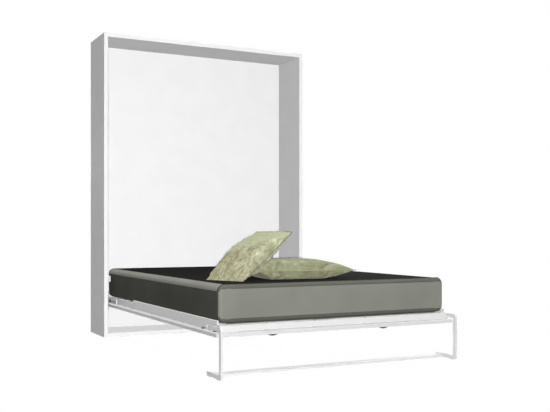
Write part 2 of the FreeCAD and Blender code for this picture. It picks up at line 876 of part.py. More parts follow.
def make_handles():
    """Two dark bow handles on the panel's outer face, each with two screws."""
    y = "door_front + handle_from_end"
    drop = "(handle_drop - handle_bar_radius)"
    ring_radius = f"(handle_chord * handle_chord / 4 + {drop} * {drop}) / (2 * {drop})"
    for name, sign in (("handle_right", 1), ("handle_left", -1)):
        x = f"{sign} * handle_spread / 2"
        ring = DOC.addObject("Part::Torus", "Ring")
        bind(ring, Radius1=ring_radius, Radius2="handle_bar_radius")
        ring.Placement = Placement(Vector(), Rotation(Vector(1, 0, 0), 90))
        place(ring, (x, y, f"door_bottom - {drop} + {ring_radius}"))
        above = box((f"{x} - 2 * handle_chord", f"{y} - handle_chord", "door_bottom"),
                    ("4 * handle_chord", "2 * handle_chord", "4 * handle_chord"))
        bow = cut(ring, [above])
        feet = []
        holes = []
        for foot in (-1, 1):
            foot_x = f"{x} + {foot} * handle_chord / 2"
            feet.append(rod("z", (foot_x, y, "door_bottom - handle_foot_high"),
                            "handle_foot_radius", "handle_foot_high"))
            holes.append(rod("z", (foot_x, y, "door_bottom - handle_screw_bite"),
                             "handle_screw_radius + screw_play", "handle_screw_bite"))
        keep(name, cut(fused([bow] + feet), holes))
    screws = []
    for at in handle_foot_places():
        shank = rod("z", (at[0], at[1], "door_bottom - handle_screw_bite + screw_play"),
                    "handle_screw_radius",
                    "door_thick + handle_screw_bite - screw_play - handle_head_high")
        head = rod("z", (at[0], at[1], "door_top - handle_head_high"), "handle_head_radius",
                   "handle_head_high")
        screws.append(fused([shank, head]))
    keep("handle_screws", group(screws))


# Floor leg

def stop_height():
    """The height of the stop pins, just under the leg's arms."""
    return "leg_pivot_z - leg_bar_wide / 2 - stop_radius - stop_touch"


def stop_places():
    """The stop pins in front of and behind the leg's pivot."""
    return ("leg_pivot_y - stop_from_pivot", "leg_pivot_y + stop_from_pivot")


def make_leg_bars():
    """Two bars bent to a C round the end of the front panel."""
    body = DOC.addObject("PartDesign::Body", "leg_bar_c")
    sketch = sketch_on(body, "YZ_Plane", "leg_inner")
    low = "pad_thick"
    inner_low = "pad_thick + leg_bar_wide"
    inner_high = "leg_top - leg_bar_wide"
    end = "leg_pivot_y + leg_bar_wide / 2"
    outline(sketch, [
        ("leg_front_y", low), ("foot_rear", low), ("foot_rear", inner_low),
        ("leg_front_y + leg_bar_wide", inner_low), ("leg_front_y + leg_bar_wide", inner_high),
        (end, inner_high), (end, "leg_top"), ("leg_front_y", "leg_top"),
    ])
    pad = padded(body, sketch, "leg_bar_thick")
    front = number("leg_front_y")
    inner = number("leg_front_y + leg_bar_wide")
    rear = number(end)
    along_x = runs_along(Vector(1, 0, 0))
    body_fillet(body, pad, "leg_bend",
                lambda edge: along_x(edge) and abs(edge.CenterOfMass.y - front) < SAME_PLACE)
    body_fillet(body, body.Tip, "leg_inner_bend",
                lambda edge: along_x(edge) and abs(edge.CenterOfMass.y - inner) < SAME_PLACE)
    body_fillet(body, body.Tip, "leg_bar_wide / 2 - leg_end_flat",
                lambda edge: along_x(edge) and abs(edge.CenterOfMass.y - rear) < SAME_PLACE)
    centre = ("leg_pivot_y", "leg_pivot_z")
    bore = rod("x", ("leg_inner", *centre), "leg_bush_radius", "leg_bar_thick")
    both_sides("leg_bar", cut(body, [bore]))
    bush = rod("x", ("leg_inner", *centre), "leg_bush_radius", "leg_bar_thick")
    inside = rod("x", ("leg_inner", *centre), "leg_bolt_radius + running_play", "leg_bar_thick")
    right = cut(bush, [inside])
    keep("leg_bushes", group([right, mirrored(right)]))


def make_cross_plate():
    """The flat tube that joins the rear ends of the two feet."""
    low = "cross_top - cross_thick"
    body = tube("leg_cross_plate_tube", "YZ_Plane", "-leg_inner", "2 * leg_inner",
                ("foot_rear - cross_deep", "foot_rear"), (low, "cross_top"), "cross_wall")
    keep("leg_cross_plate", body)


def make_foot_pads():
    """Rubber pads under the ends of the two feet."""
    pads = []
    for front in ("leg_front_y + leg_bend", "foot_rear - pad_inset - pad_long"):
        pads.append(box(("leg_inner", front, "0"), ("leg_bar_thick", "pad_long", "pad_thick")))
    right = group(pads)
    keep("foot_pads", group([right, mirrored(right)]))


def make_leg_pivots():
    """Shoulder bolts, spacers and nuts of the leg, and the pins that stop its swing."""
    centre = ("leg_pivot_y", "leg_pivot_z")
    start = "frame_half - leg_bolt_inside"
    shank = rod("x", (start, *centre), "leg_bolt_radius", f"leg_outer + side_play - ({start})")
    head = hexagon("x", ("leg_outer + side_play", *centre), "leg_bolt_head_radius",
                   "leg_bolt_head_high")
    both_sides("leg_bolt", fused([shank, head]))
    sleeve = rod("x", ("frame_half", *centre), "leg_spacer_radius", "leg_gap - side_play / 2")
    bore = rod("x", ("frame_half", *centre), "leg_bolt_radius", "leg_gap")
    spacer = cut(sleeve, [bore])
    keep("leg_spacers", group([spacer, mirrored(spacer)]))
    nut_start = "frame_half - rail_wall - leg_nut_high"
    nut = hexagon("x", (nut_start, *centre), "leg_nut_radius", "leg_nut_high")
    nut_bore = rod("x", (nut_start, *centre), "leg_bolt_radius", "leg_nut_high")
    right_nut = cut(nut, [nut_bore])
    keep("leg_nuts", group([right_nut, mirrored(right_nut)]))
    pins = []
    for y in stop_places():
        pins.append(rod("x", ("frame_half - rail_wall", y, stop_height()), "stop_radius",
                        "leg_gap + leg_bar_thick + rail_wall"))
    right = group(pins)
    keep("leg_stop_pins", group([right, mirrored(right)]))


# Gas struts

def strut_turn():
    """The strut's lean in the YZ plane and the length between its eyes, at rest."""
    along = number("strut_low_y - strut_top_y")
    up = number("strut_low_height - strut_top_height")
    return math.degrees(math.atan2(along, -up)), math.hypot(along, up)


def make_struts():
    """Tube of each gas strut, and its rod with a piston inside, with an eye at either end."""
    lean, between = strut_turn()
    turn = Rotation(Vector(1, 0, 0), lean + 180)
    top = Vector(number("strut_x"), number("strut_top_y"), number("strut_top_height"))
    across = Rotation(Vector(0, 1, 0), 90)

    def eye(distance):
        ring = Part.makeCylinder(size("strut_eye_radius"), size("strut_eye_wide"))
        ring.Placement = Placement(Vector(-size("strut_eye_wide") / 2, 0, distance), across)
        return ring

    def eye_bore(distance):
        hole = Part.makeCylinder(size("strut_pin_radius") + size("running_play"),
                                 size("strut_eye_wide"))
        hole.Placement = Placement(Vector(-size("strut_eye_wide") / 2, 0, distance), across)
        return hole

    tube_end = between - size("strut_rod_shown")
    rod_start = size("strut_rod_from_top")
    neck = size("strut_neck")
    barrel = Part.makeCylinder(size("strut_tube_radius"), tube_end - neck, Vector(0, 0, neck))
    rounded_barrel = barrel.makeFillet(size("strut_tube_round"), barrel.Edges)
    bore_start = rod_start - size("strut_bore_spare")
    inside = size("strut_tube_radius") - size("strut_tube_wall")
    gland_start = tube_end - size("strut_gland_long")
    chamber = Part.makeCylinder(inside, gland_start - bore_start, Vector(0, 0, bore_start))
    mouth = Part.makeCylinder(size("strut_rod_radius") + size("strut_gland_play"),
                              tube_end - bore_start, Vector(0, 0, bore_start))
    bore = chamber.fuse(mouth)
    stem = Part.makeCylinder(size("strut_rod_radius"), neck)
    tube_shape = rounded_barrel.fuse([stem, eye(0)]).cut(bore).cut(eye_bore(0)).removeSplitter()
    rod_shape = Part.makeCylinder(size("strut_rod_radius"), between - rod_start,
                                  Vector(0, 0, rod_start))
    piston = Part.makeCylinder(inside - size("strut_piston_play"), size("strut_piston_long"),
                               Vector(0, 0, rod_start))
    rod_shape = rod_shape.fuse([piston, eye(between)])
    rod_shape = rod_shape.cut(eye_bore(between)).removeSplitter()
    for name, shape in (("strut_tube", tube_shape), ("strut_rod", rod_shape)):
        thing = DOC.addObject("Part::Feature", name)
        thing.Shape = shape
        thing.Placement = Placement(top, turn)
        both_sides(name, thing)


# Soft pieces

def make_mattress():
    """The mattress, with soft long edges and a smaller rounding at its ends."""
    body = DOC.addObject("PartDesign::Body", "mattress_block")
    sketch = sketch_on(body, "XY_Plane", "mattress_bottom")
    outline(sketch, [("-mattress_half", "mattress_front"), ("mattress_half", "mattress_front"),
                     ("mattress_half", "mattress_rear"), ("-mattress_half", "mattress_rear")])
    pad = padded(body, sketch, "mattress_thick")
    body_fillet(body, pad, "mattress_edge", runs_along(Vector(0, 1, 0)))
    foot = number("mattress_front")
    head = number("mattress_rear")
    body_fillet(body, body.Tip, "mattress_end_edge",
                lambda edge: abs(edge.BoundBox.YMax - foot) < SAME_PLACE
                or abs(edge.BoundBox.YMin - head) < SAME_PLACE)
    keep("mattress", body)


def pillow_shape(prefix):
    """A lens with drawn-in sides, lying flat about its own centre."""
    half_long = size(prefix + "_long") / 2
    half_wide = size(prefix + "_wide") / 2
    thick = size(prefix + "_thick")
    waist = size(prefix + "_waist")
    under_share = size(prefix + "_under_share")
    corner = size("pillow_corner_thick")
    sections = []
    for share in PILLOW_STATION_SHARES:
        crown = 1 - abs(share) ** 3
        along = share * half_long
        reach = half_wide - waist * (1 - share * share)
        whole = corner + (thick - corner) * math.sqrt(crown)
        left = Vector(along, -reach, 0)
        right = Vector(along, reach, 0)
        crest = Vector(along, 0, whole * (1 - under_share))
        belly = Vector(along, 0, -whole * under_share)
        top = Part.Arc(left, crest, right).toShape()
        bottom = Part.Arc(right, belly, left).toShape()
        sections.append(Part.Wire([top, bottom]))
    return Part.makeLoft(sections, True, False)


def make_pillow(prefix, slope):
    """One pillow on the mattress, turned, sloped, and set down until it all but touches."""
    pillow = DOC.addObject("Part::Feature", prefix + "_pillow_form")
    pillow.Shape = pillow_shape(prefix)
    heading = Rotation(Vector(0, 0, 1), size(prefix + "_turn_angle"))
    turn = heading.multiply(Rotation(Vector(0, 1, 0), slope))
    pillow.Placement = Placement(Vector(), turn)
    lowest = pillow.Shape.optimalBoundingBox(False).ZMin
    centre = Vector(size(prefix + "_x"), size("cab_front") - size(prefix + "_out"),
                    size("mattress_top") + size("soft_gap") - lowest)
    pillow.Placement = Placement(centre, turn)
    keep(prefix + "_pillow", pillow)


def make_pillows():
    """Two pillows on the foot half of the mattress: one lies flat, one leans on it."""
    make_pillow("lying", 0)
    make_pillow("leaning", -size("leaning_slope_angle"))


def check_document():
    """Stop if any object failed, or if any sub-part has no valid shape."""
    DOC.recompute()
    for thing in DOC.Objects:
        if "Invalid" in thing.State or "Error" in thing.State:
            raise RuntimeError(f"{thing.Name} ({thing.Label}) failed: {thing.State}")
    for name, thing in NODES:
        if thing.Shape.isNull() or not thing.Shape.isValid() or not thing.Shape.Solids:
            raise RuntimeError(f"{name} has no valid solid")


def write_parts():
    """Write one file per sub-part."""
    os.makedirs("parts", exist_ok=True)
    for name, thing in NODES:
        thing.Shape.exportStep(os.path.join("parts", name + ".step"))
        box_of = thing.Shape.BoundBox
        print(f"{name:22s} {len(thing.Shape.Solids):3d} solids "
              f"x {box_of.XMin:8.1f} {box_of.XMax:8.1f} y {box_of.YMin:8.1f} {box_of.YMax:8.1f} "
              f"z {box_of.ZMin:8.1f} {box_of.ZMax:8.1f}")
    print(len(NODES), "sub-parts")


fill_sheet()
make_boards()
make_hinge_plates()
make_strut_anchors()
make_side_screws()
make_closing_stops()
make_wall_brackets()
make_rails()
make_rail_caps()
make_gussets()
make_hinge_arms()
make_side_guards()
make_slats()
make_front_panel()
make_panel_fixings()
make_handles()
make_leg_bars()
make_cross_plate()
make_foot_pads()
make_leg_pivots()
make_struts()
make_mattress()
make_pillows()
check_document()
write_parts()
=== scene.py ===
"""Looks for a wall bed: a shallow cabinet, the slatted bed that tilts into it, and pillows."""

import json
import logging
import math
from dataclasses import dataclass
from enum import Enum
from functools import partial
from typing import Callable, ClassVar, Sequence

import bmesh
import bpy
from mathutils import Matrix, Vector, noise
from mathutils.kdtree import KDTree


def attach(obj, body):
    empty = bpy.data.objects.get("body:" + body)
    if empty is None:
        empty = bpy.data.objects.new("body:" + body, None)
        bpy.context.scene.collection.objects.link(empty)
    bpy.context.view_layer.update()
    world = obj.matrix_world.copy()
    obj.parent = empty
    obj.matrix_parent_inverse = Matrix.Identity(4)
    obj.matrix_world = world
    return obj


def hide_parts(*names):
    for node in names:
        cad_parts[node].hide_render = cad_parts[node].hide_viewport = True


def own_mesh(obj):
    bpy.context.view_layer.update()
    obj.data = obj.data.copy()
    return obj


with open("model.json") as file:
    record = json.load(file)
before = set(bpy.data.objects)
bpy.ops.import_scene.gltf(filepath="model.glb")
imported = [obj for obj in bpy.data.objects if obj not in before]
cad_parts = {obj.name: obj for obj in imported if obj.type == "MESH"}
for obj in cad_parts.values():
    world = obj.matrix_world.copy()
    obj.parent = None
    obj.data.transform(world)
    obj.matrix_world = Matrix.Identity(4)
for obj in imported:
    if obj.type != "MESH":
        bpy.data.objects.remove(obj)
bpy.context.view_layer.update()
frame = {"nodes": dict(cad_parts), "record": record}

LOG = logging.getLogger("wall_bed")
Piece = bpy.types.Object
Wire = bpy.types.Node | bpy.types.NodeSocket
Links = dict[str, object]
AddNode = Callable[..., bpy.types.Node]
EdgeTest = Callable[[bmesh.types.BMEdge], bool]

WHITE = "#ffffff"
# Lengths are in metres, unless a name says mm
MM = 0.001
NEAR = 0.1 * MM
CORD_RADIUS = 0.0024
# Where the front edge band of the cabinet's boards ends
BAND_END = -0.174
# Below these angles, in degrees, neighbouring faces are shaded as one
CORD_CREASE = 60
SOFT_CREASE = 180


class Axis(Enum):
    """A direction, as the number of its coordinate."""

    X = 0
    Y = 1
    Z = 2


# Selecting and shaping

def put_down() -> None:
    """Leave edit mode and deselect every object."""
    if bpy.context.mode != "OBJECT":
        bpy.ops.object.mode_set(mode="OBJECT")
    bpy.ops.object.select_all(action="DESELECT")


def take_up(piece: Piece) -> None:
    """Make a piece the only selected and the active object.

    Args:
        piece: the object to work on.
    """
    put_down()
    piece.select_set(True)
    bpy.context.view_layer.objects.active = piece


def open_up(piece: Piece) -> None:
    """Go to edit mode with all of a piece selected.

    Args:
        piece: the mesh object.
    """
    take_up(piece)
    bpy.ops.object.mode_set(mode="EDIT")
    bpy.ops.mesh.select_all(action="SELECT")


def select_edges(piece: Piece, wanted: EdgeTest) -> None:
    """Select in edit mode the edges that pass a test, and nothing else.

    Args:
        piece: the mesh object, which is left in edit mode.
        wanted: the test.
    """
    open_up(piece)
    bpy.ops.mesh.select_mode(type="EDGE")
    bpy.ops.mesh.select_all(action="DESELECT")
    mesh = bmesh.from_edit_mesh(piece.data)
    mesh.normal_update()
    for edge in mesh.edges:
        if wanted(edge):
            edge.select_set(True)
    mesh.select_flush_mode()
    bmesh.update_edit_mesh(piece.data)


def spread(start: float, end: float, step: float) -> list[float]:
    """Space places evenly from start to end, about a step apart."""
    count = max(2, round((end - start) / step))
    return [start + (end - start) * number / count for number in range(count + 1)]


def slice_along(piece: Piece, axis: Axis, places: Sequence[float]) -> None:
    """Cut the whole skin of a piece with planes, so that it has points to move.

    Args:
        piece: the mesh object.
        axis: the planes' normal.
        places: where each plane stands on that axis.
    """
    normal = [0.0, 0.0, 0.0]
    normal[axis.value] = 1.0
    for place in places:
        open_up(piece)
        bpy.ops.mesh.bisect(plane_co=[place * part for part in normal], plane_no=normal)
    put_down()


def apply_all(piece: Piece) -> None:
    """Apply every modifier, in order.

    Args:
        piece: the object that has them.
    """
    take_up(piece)
    for modifier in list(piece.modifiers):
        bpy.ops.object.modifier_apply(modifier=modifier.name)


def round_off(piece: Piece, levels: int) -> None:
    """Round a piece by subdividing it.

    Args:
        piece: the mesh object.
        levels: how many times it is subdivided.
    """
    rounder = piece.modifiers.new("round", "SUBSURF")
    rounder.levels = levels
    rounder.render_levels = levels
    apply_all(piece)


def smooth(piece: Piece, degrees: float) -> None:
    """Shade a piece smooth where its faces meet at less than an angle."""
    take_up(piece)
    bpy.ops.object.shade_smooth_by_angle(angle=math.radians(degrees))


def cord_from_edges(piece: Piece, name: str, wanted: EdgeTest) -> Piece:
    """Lay a round cord on some edges of a piece.

    Args:
        piece: the mesh whose edges it follows.
        name: the cord's name.
        wanted: the test that picks the edges.

    Returns:
        The cord as a mesh object.
    """
    select_edges(piece, wanted)
    bpy.ops.mesh.duplicate()
    bpy.ops.mesh.separate(type="SELECTED")
    bpy.ops.object.mode_set(mode="OBJECT")
    cord = next(thing for thing in bpy.context.selected_objects if thing is not piece)
    cord.name = name
    open_up(cord)
    bpy.ops.mesh.remove_doubles(threshold=NEAR)
    bpy.ops.mesh.delete(type="ONLY_FACE")
    bpy.ops.object.mode_set(mode="OBJECT")
    bpy.ops.object.convert(target="CURVE")
    cord = bpy.context.view_layer.objects.active
    cord.data.bevel_depth = CORD_RADIUS
    cord.data.bevel_resolution = 2
    cord.data.use_fill_caps = True
    bpy.ops.object.convert(target="MESH")
    cord = bpy.context.view_layer.objects.active
    cord.data.materials.clear()
    smooth(cord, CORD_CREASE)
    return cord


# Colour and nodes

def paint(hex_colour: str) -> tuple[float, float, float, float]:
    """Turn an sRGB hex colour to the linear values that a shader takes.

    Args:
        hex_colour: six hex digits after a number sign.

    Returns:
        Linear red, green, blue and an alpha of one.
    """
    parts = [int(hex_colour[at:at + 2], 16) / 255 for at in (1, 3, 5)]
    red, green, blue = [part / 12.92 if part <= 0.04045 else ((part + 0.055) / 1.055) ** 2.4
                        for part in parts]
    return (red, green, blue, 1.0)


def add_node(tree: bpy.types.NodeTree, kind: str, links: Links | Sequence[object] = (),
             **settings: object) -> bpy.types.Node:
    """Add one node with its settings and links.

    Args:
        tree: the tree that gets it.
        kind: the node's type.
        links: what the inputs get, by their names or in their order: an output, a node, which
            gives its first output, an sRGB hex colour, or a value.
        settings: the node's own properties.

    Returns:
        The node.
    """
    made = tree.nodes.new(kind)
    for key, value in settings.items():
        setattr(made, key, value)
    inputs = [slot for slot in made.inputs if slot.enabled]
    if isinstance(links, dict):
        inputs = [next(slot for slot in inputs if slot.name == name) for name in links]
        links = list(links.values())
    for slot, value in zip(inputs, links):
        if isinstance(value, bpy.types.Node):
            value = next(output for output in value.outputs if output.enabled)
        if isinstance(value, bpy.types.NodeSocket):
            tree.links.new(value, slot)
        else:
            slot.default_value = paint(value) if isinstance(value, str) else value
    return made


def empty_tree(owner: bpy.types.ID) -> bpy.types.NodeTree:
    """Switch nodes on and clear them.

    Args:
        owner: the material, world or light that has them.

    Returns:
        Its empty tree.
    """
    owner.use_nodes = True
    owner.node_tree.nodes.clear()
    return owner.node_tree


@dataclass(frozen=True)
class Finish:
    """What every finish has: a name, the two colours it drifts between, and a roughness."""

    name: str
    colour: str
    deep: str
    roughness: float
    # The coordinates that its pattern follows
    follows: ClassVar[str] = "Object"

    def make(self) -> bpy.types.Material:
        """Build the material.

        Returns:
            The material, with its pattern on one shader.
        """
        material = bpy.data.materials.new(self.name)
        add = partial(add_node, empty_tree(material))
        place = add("ShaderNodeTexCoord").outputs[self.follows]
        shader = add("ShaderNodeBsdfPrincipled", {
            "Roughness": self.roughness, **self.surface(add, place)})
        add("ShaderNodeOutputMaterial", {"Surface": shader})
        return material

    def surface(self, add: AddNode, place: Wire) -> Links:
        """Make the nodes of the finish's pattern, and give what the shader's inputs get."""
        raise NotImplementedError

    def skin(self, add: AddNode, layers: Sequence[tuple[Wire, str]], relief: Links,
             shine: Wire | None = None, swing: tuple[float, float] = (-0.06, 0.08)) -> Links:
        """Put the colours, the relief and an uneven gloss together.

        Args:
            add: adds a node to the material.
            layers: the colours over the deep one, each after what gives its share.
            relief: what the bump gets.
            shine: what makes the gloss uneven, if anything does.
            swing: what it adds to the roughness at its lowest and at its highest.

        Returns:
            What the shader's inputs get.
        """
        tone: str | Wire = self.deep
        for share, colour in layers:
            tone = add("ShaderNodeMix", [share, tone, colour], data_type="RGBA")
        links = {"Base Color": tone, "Normal": add("ShaderNodeBump", relief)}
        if shine is not None:
            links["Roughness"] = add("ShaderNodeMapRange", {
                "Value": shine, "To Min": self.roughness + swing[0],
                "To Max": self.roughness + swing[1]})
        return links


@dataclass(frozen=True)
class Melamine(Finish):
    """Melamine-faced board. It reads as an even satin white with a pressed pearl texture, drawn
    coarser than it is so that it shows, and a hairline where the edge band meets the face."""

    pearl_mm: float = 1.8
    cloud_mm: float = 160.0
    # A paler colour for the front edge band, if it has one
    band: str = ""
    joints: tuple[tuple[Axis, float], ...] = ()
    hairline: str = "#8c8c8a"
    hairline_mm: float = 0.35
    hairline_share: float = 0.25

    def surface(self, add: AddNode, place: Wire) -> Links:
        """Make soft clouds and pearl, then the band and the hairlines on them.

        Args:
            add: adds a node to the material.
            place: the pattern's coordinates.

        Returns:
            What the shader's inputs get.
        """
        pearl, cloud = [add("ShaderNodeTexNoise", {
            "Vector": place, "Scale": 1000 / size, "Detail": detail, "Roughness": rough})
            for size, detail, rough in ((self.pearl_mm, 2.0, 0.6), (self.cloud_mm, 3.0, 0.5))]
        layers = [(cloud, self.colour)]
        parts = add("ShaderNodeSeparateXYZ", [place]).outputs
        if self.band:
            layers.append((add("ShaderNodeMath", [parts["Y"], BAND_END],
                               operation="LESS_THAN"), self.band))
        if self.joints:
            line: float | Wire = 0.0
            for axis, at in self.joints:
                near = add("ShaderNodeMath", [parts[axis.value], at, self.hairline_mm * MM],
                           operation="COMPARE")
                line = add("ShaderNodeMath", [line, near], operation="MAXIMUM")
            layers.append((add("ShaderNodeMath", [line, self.hairline_share],
                               operation="MULTIPLY"), self.hairline))
        return {"Specular IOR Level": 0.2, **self.skin(add, layers, {
            "Height": pearl, "Strength": 0.25, "Distance": 0.06 * MM}, pearl)}


@dataclass(frozen=True)
class PowderCoat(Finish):
    """Baked powder paint on steel. It reads as a hard white skin with a slight orange peel."""

    peel_mm: float = 2.2
    drift_mm: float = 90.0

    def surface(self, add: AddNode, place: Wire) -> Links:
        """Make the peel and a slow drift.

        Args:
            add: adds a node to the material.
            place: the pattern's coordinates.

        Returns:
            What the shader's inputs get.
        """
        peel = add("ShaderNodeTexVoronoi", {
            "Vector": place, "Scale": 1000 / self.peel_mm, "Smoothness": 1.0},
            feature="SMOOTH_F1")
        drift = add("ShaderNodeTexNoise", {
            "Vector": place, "Scale": 1000 / self.drift_mm, "Detail": 2.0})
        return self.skin(add, [(drift, self.colour)], {
            "Height": peel, "Strength": 0.3, "Distance": 0.05 * MM}, drift, (-0.05, 0.07))


class MetalMark(Enum):
    """The mark that making leaves on a metal, as its closeness along X, Y and Z."""

    SPANGLE = (1.0, 1.0, 1.0)
    TURNED = (8.0, 0.4, 0.4)
    DRAWN = (0.15, 5.0, 0.15)


@dataclass(frozen=True)
class Metal(Finish):
    """Bare or plated steel. The making marks decide how its shine breaks up: zinc spangle in soft
    patches, turning rings round a pin, or long draw lines."""

    mark: MetalMark = MetalMark.SPANGLE
    mark_mm: float = 9.0
    fine_mm: float = 1.5

    def surface(self, add: AddNode, place: Wire) -> Links:
        """Make the marks and a fine unevenness.

        Args:
            add: adds a node to the material.
            place: the pattern's coordinates.

        Returns:
            What the shader's inputs get.
        """
        across = add("ShaderNodeMapping", {"Vector": place, "Scale": self.mark.value})
        if self.mark is MetalMark.SPANGLE:
            marks = add("ShaderNodeTexVoronoi", {
                "Vector": across, "Scale": 1000 / self.mark_mm}, feature="F1").outputs["Color"]
        else:
            marks = add("ShaderNodeTexNoise", {
                "Vector": across, "Scale": 1000 / self.mark_mm, "Detail": 4.0})
        fine = add("ShaderNodeTexNoise", {
            "Vector": place, "Scale": 1000 / self.fine_mm, "Detail": 3.0})
        return {"Metallic": 1.0, **self.skin(add, [(marks, self.colour)], {
            "Height": fine, "Strength": 0.2, "Distance": 0.03 * MM}, marks, (-0.06, 0.1))}


@dataclass(frozen=True)
class Moulded(Finish):
    """Moulded plastic, rubber or gloss lacquer. A spark-eroded grain, drawn coarser than it is so
    that it shows, dulls the shine, and the colour drifts a little where the melt flowed."""

    grain_mm: float = 0.8
    grain_depth_mm: float = 0.04
    flow_mm: float = 22.0

    def surface(self, add: AddNode, place: Wire) -> Links:
        """Make the grain and the flow.

        Args:
            add: adds a node to the material.
            place: the pattern's coordinates.

        Returns:
            What the shader's inputs get.
        """
        grain = add("ShaderNodeTexNoise", {
            "Vector": place, "Scale": 1000 / self.grain_mm, "Detail": 2.0})
        flow = add("ShaderNodeTexNoise", {
            "Vector": place, "Scale": 1000 / self.flow_mm, "Detail": 2.0, "Distortion": 0.6})
        return self.skin(add, [(flow, self.colour)], {
            "Height": grain, "Strength": 0.4, "Distance": self.grain_depth_mm * MM}, grain)


@dataclass(frozen=True)
class Beech(Finish):
    """Lacquered beech. Straight grain with short dark flecks runs along the piece, and a glued
    slat shows its layers on its edges."""

    fleck: str = "#8d6740"
    glue: str = "#7d5c3a"
    grain_mm: float = 5.0
    grain_run: float = 0.04
    fleck_mm: float = 1.6
    fleck_run: float = 0.22
    layer_from: float = 0.2755
    layer_mm: float = 2.0
    glue_width: float = 0.12
    glue_share: float = 0.35

    def surface(self, add: AddNode, place: Wire) -> Links:
        """Make the grain, its flecks and the glue lines between the layers.

        Args:
            add: adds a node to the material.
            place: the pattern's coordinates.

        Returns:
            What the shader's inputs get.
        """
        lay, short = [add("ShaderNodeMapping", {"Vector": place, "Scale": (run, 1.0, 1.0)})
                      for run in (self.grain_run, self.fleck_run)]
        grain = add("ShaderNodeTexNoise", {
            "Vector": lay, "Scale": 1000 / self.grain_mm, "Detail": 5.0, "Distortion": 0.4})
        fleck = add("ShaderNodeTexVoronoi", {
            "Vector": short, "Scale": 1000 / self.fleck_mm}, feature="F1")
        fleck_on = add("ShaderNodeMapRange", {
            "Value": fleck, "From Min": 0.12, "From Max": 0.3, "To Min": 0.35, "To Max": 0.0})
        line = add("ShaderNodeSeparateXYZ", [place]).outputs["Z"]
        for operation, by in (("SUBTRACT", self.layer_from), ("DIVIDE", self.layer_mm * MM),
                              ("FRACT", 0.0), ("LESS_THAN", self.glue_width),
                              ("MULTIPLY", self.glue_share)):
            line = add("ShaderNodeMath", [line, by], operation=operation)
        layers = [(grain, self.colour), (fleck_on, self.fleck), (line, self.glue)]
        return {"Coat Weight": 0.25, "Coat Roughness": 0.3, **self.skin(add, layers, {
            "Height": grain, "Strength": 0.3, "Distance": 0.08 * MM})}


@dataclass(frozen=True)
class Ticking(Finish):
    """Knitted mattress cover. Small raised cells, drawn at twice their real size so that they
    show, give it a dry matt face, and mixed fibres give a slight fleck."""

    cell_mm: float = 5.0
    cell_depth_mm: float = 0.5
    fibre_mm: float = 7.0
    drift_mm: float = 260.0

    def surface(self, add: AddNode, place: Wire) -> Links:
        """Make the cells with painted shade in the gaps between them, and the fleck.

        Args:
            add: adds a node to the material.
            place: the pattern's coordinates.

        Returns:
            What the shader's inputs get.
        """
        cells = add("ShaderNodeTexVoronoi", {
            "Vector": place, "Scale": 1000 / self.cell_mm, "Randomness": 0.35},
            feature="SMOOTH_F1")
        fibre, drift = [add("ShaderNodeTexNoise", {
            "Vector": place, "Scale": 1000 / size, "Detail": detail, "Roughness": rough})
            for size, detail, rough in ((self.fibre_mm, 5.0, 0.7), (self.drift_mm, 2.0, 0.5))]
        mixed = add("ShaderNodeMath", [fibre, 0.6, drift], operation="MULTIPLY_ADD")
        share = add("ShaderNodeMapRange", {"Value": mixed, "From Min": 0.45, "From Max": 1.15})
        # Painted shade: the sunken gaps between the cells are painted towards the deep colour
        painted_gap_shade = add("ShaderNodeMapRange", {
            "Value": cells, "From Min": 0.25, "From Max": 0.65, "To Min": 0.0, "To Max": 0.22})
        high = add("ShaderNodeMath", [1.0, cells], operation="SUBTRACT")
        layers = [(share, self.colour), (painted_gap_shade, self.deep)]
        return {"Specular IOR Level": 0.05, **self.skin(add, layers, {
            "Height": high, "Strength": 0.5, "Distance": self.cell_depth_mm * MM})}


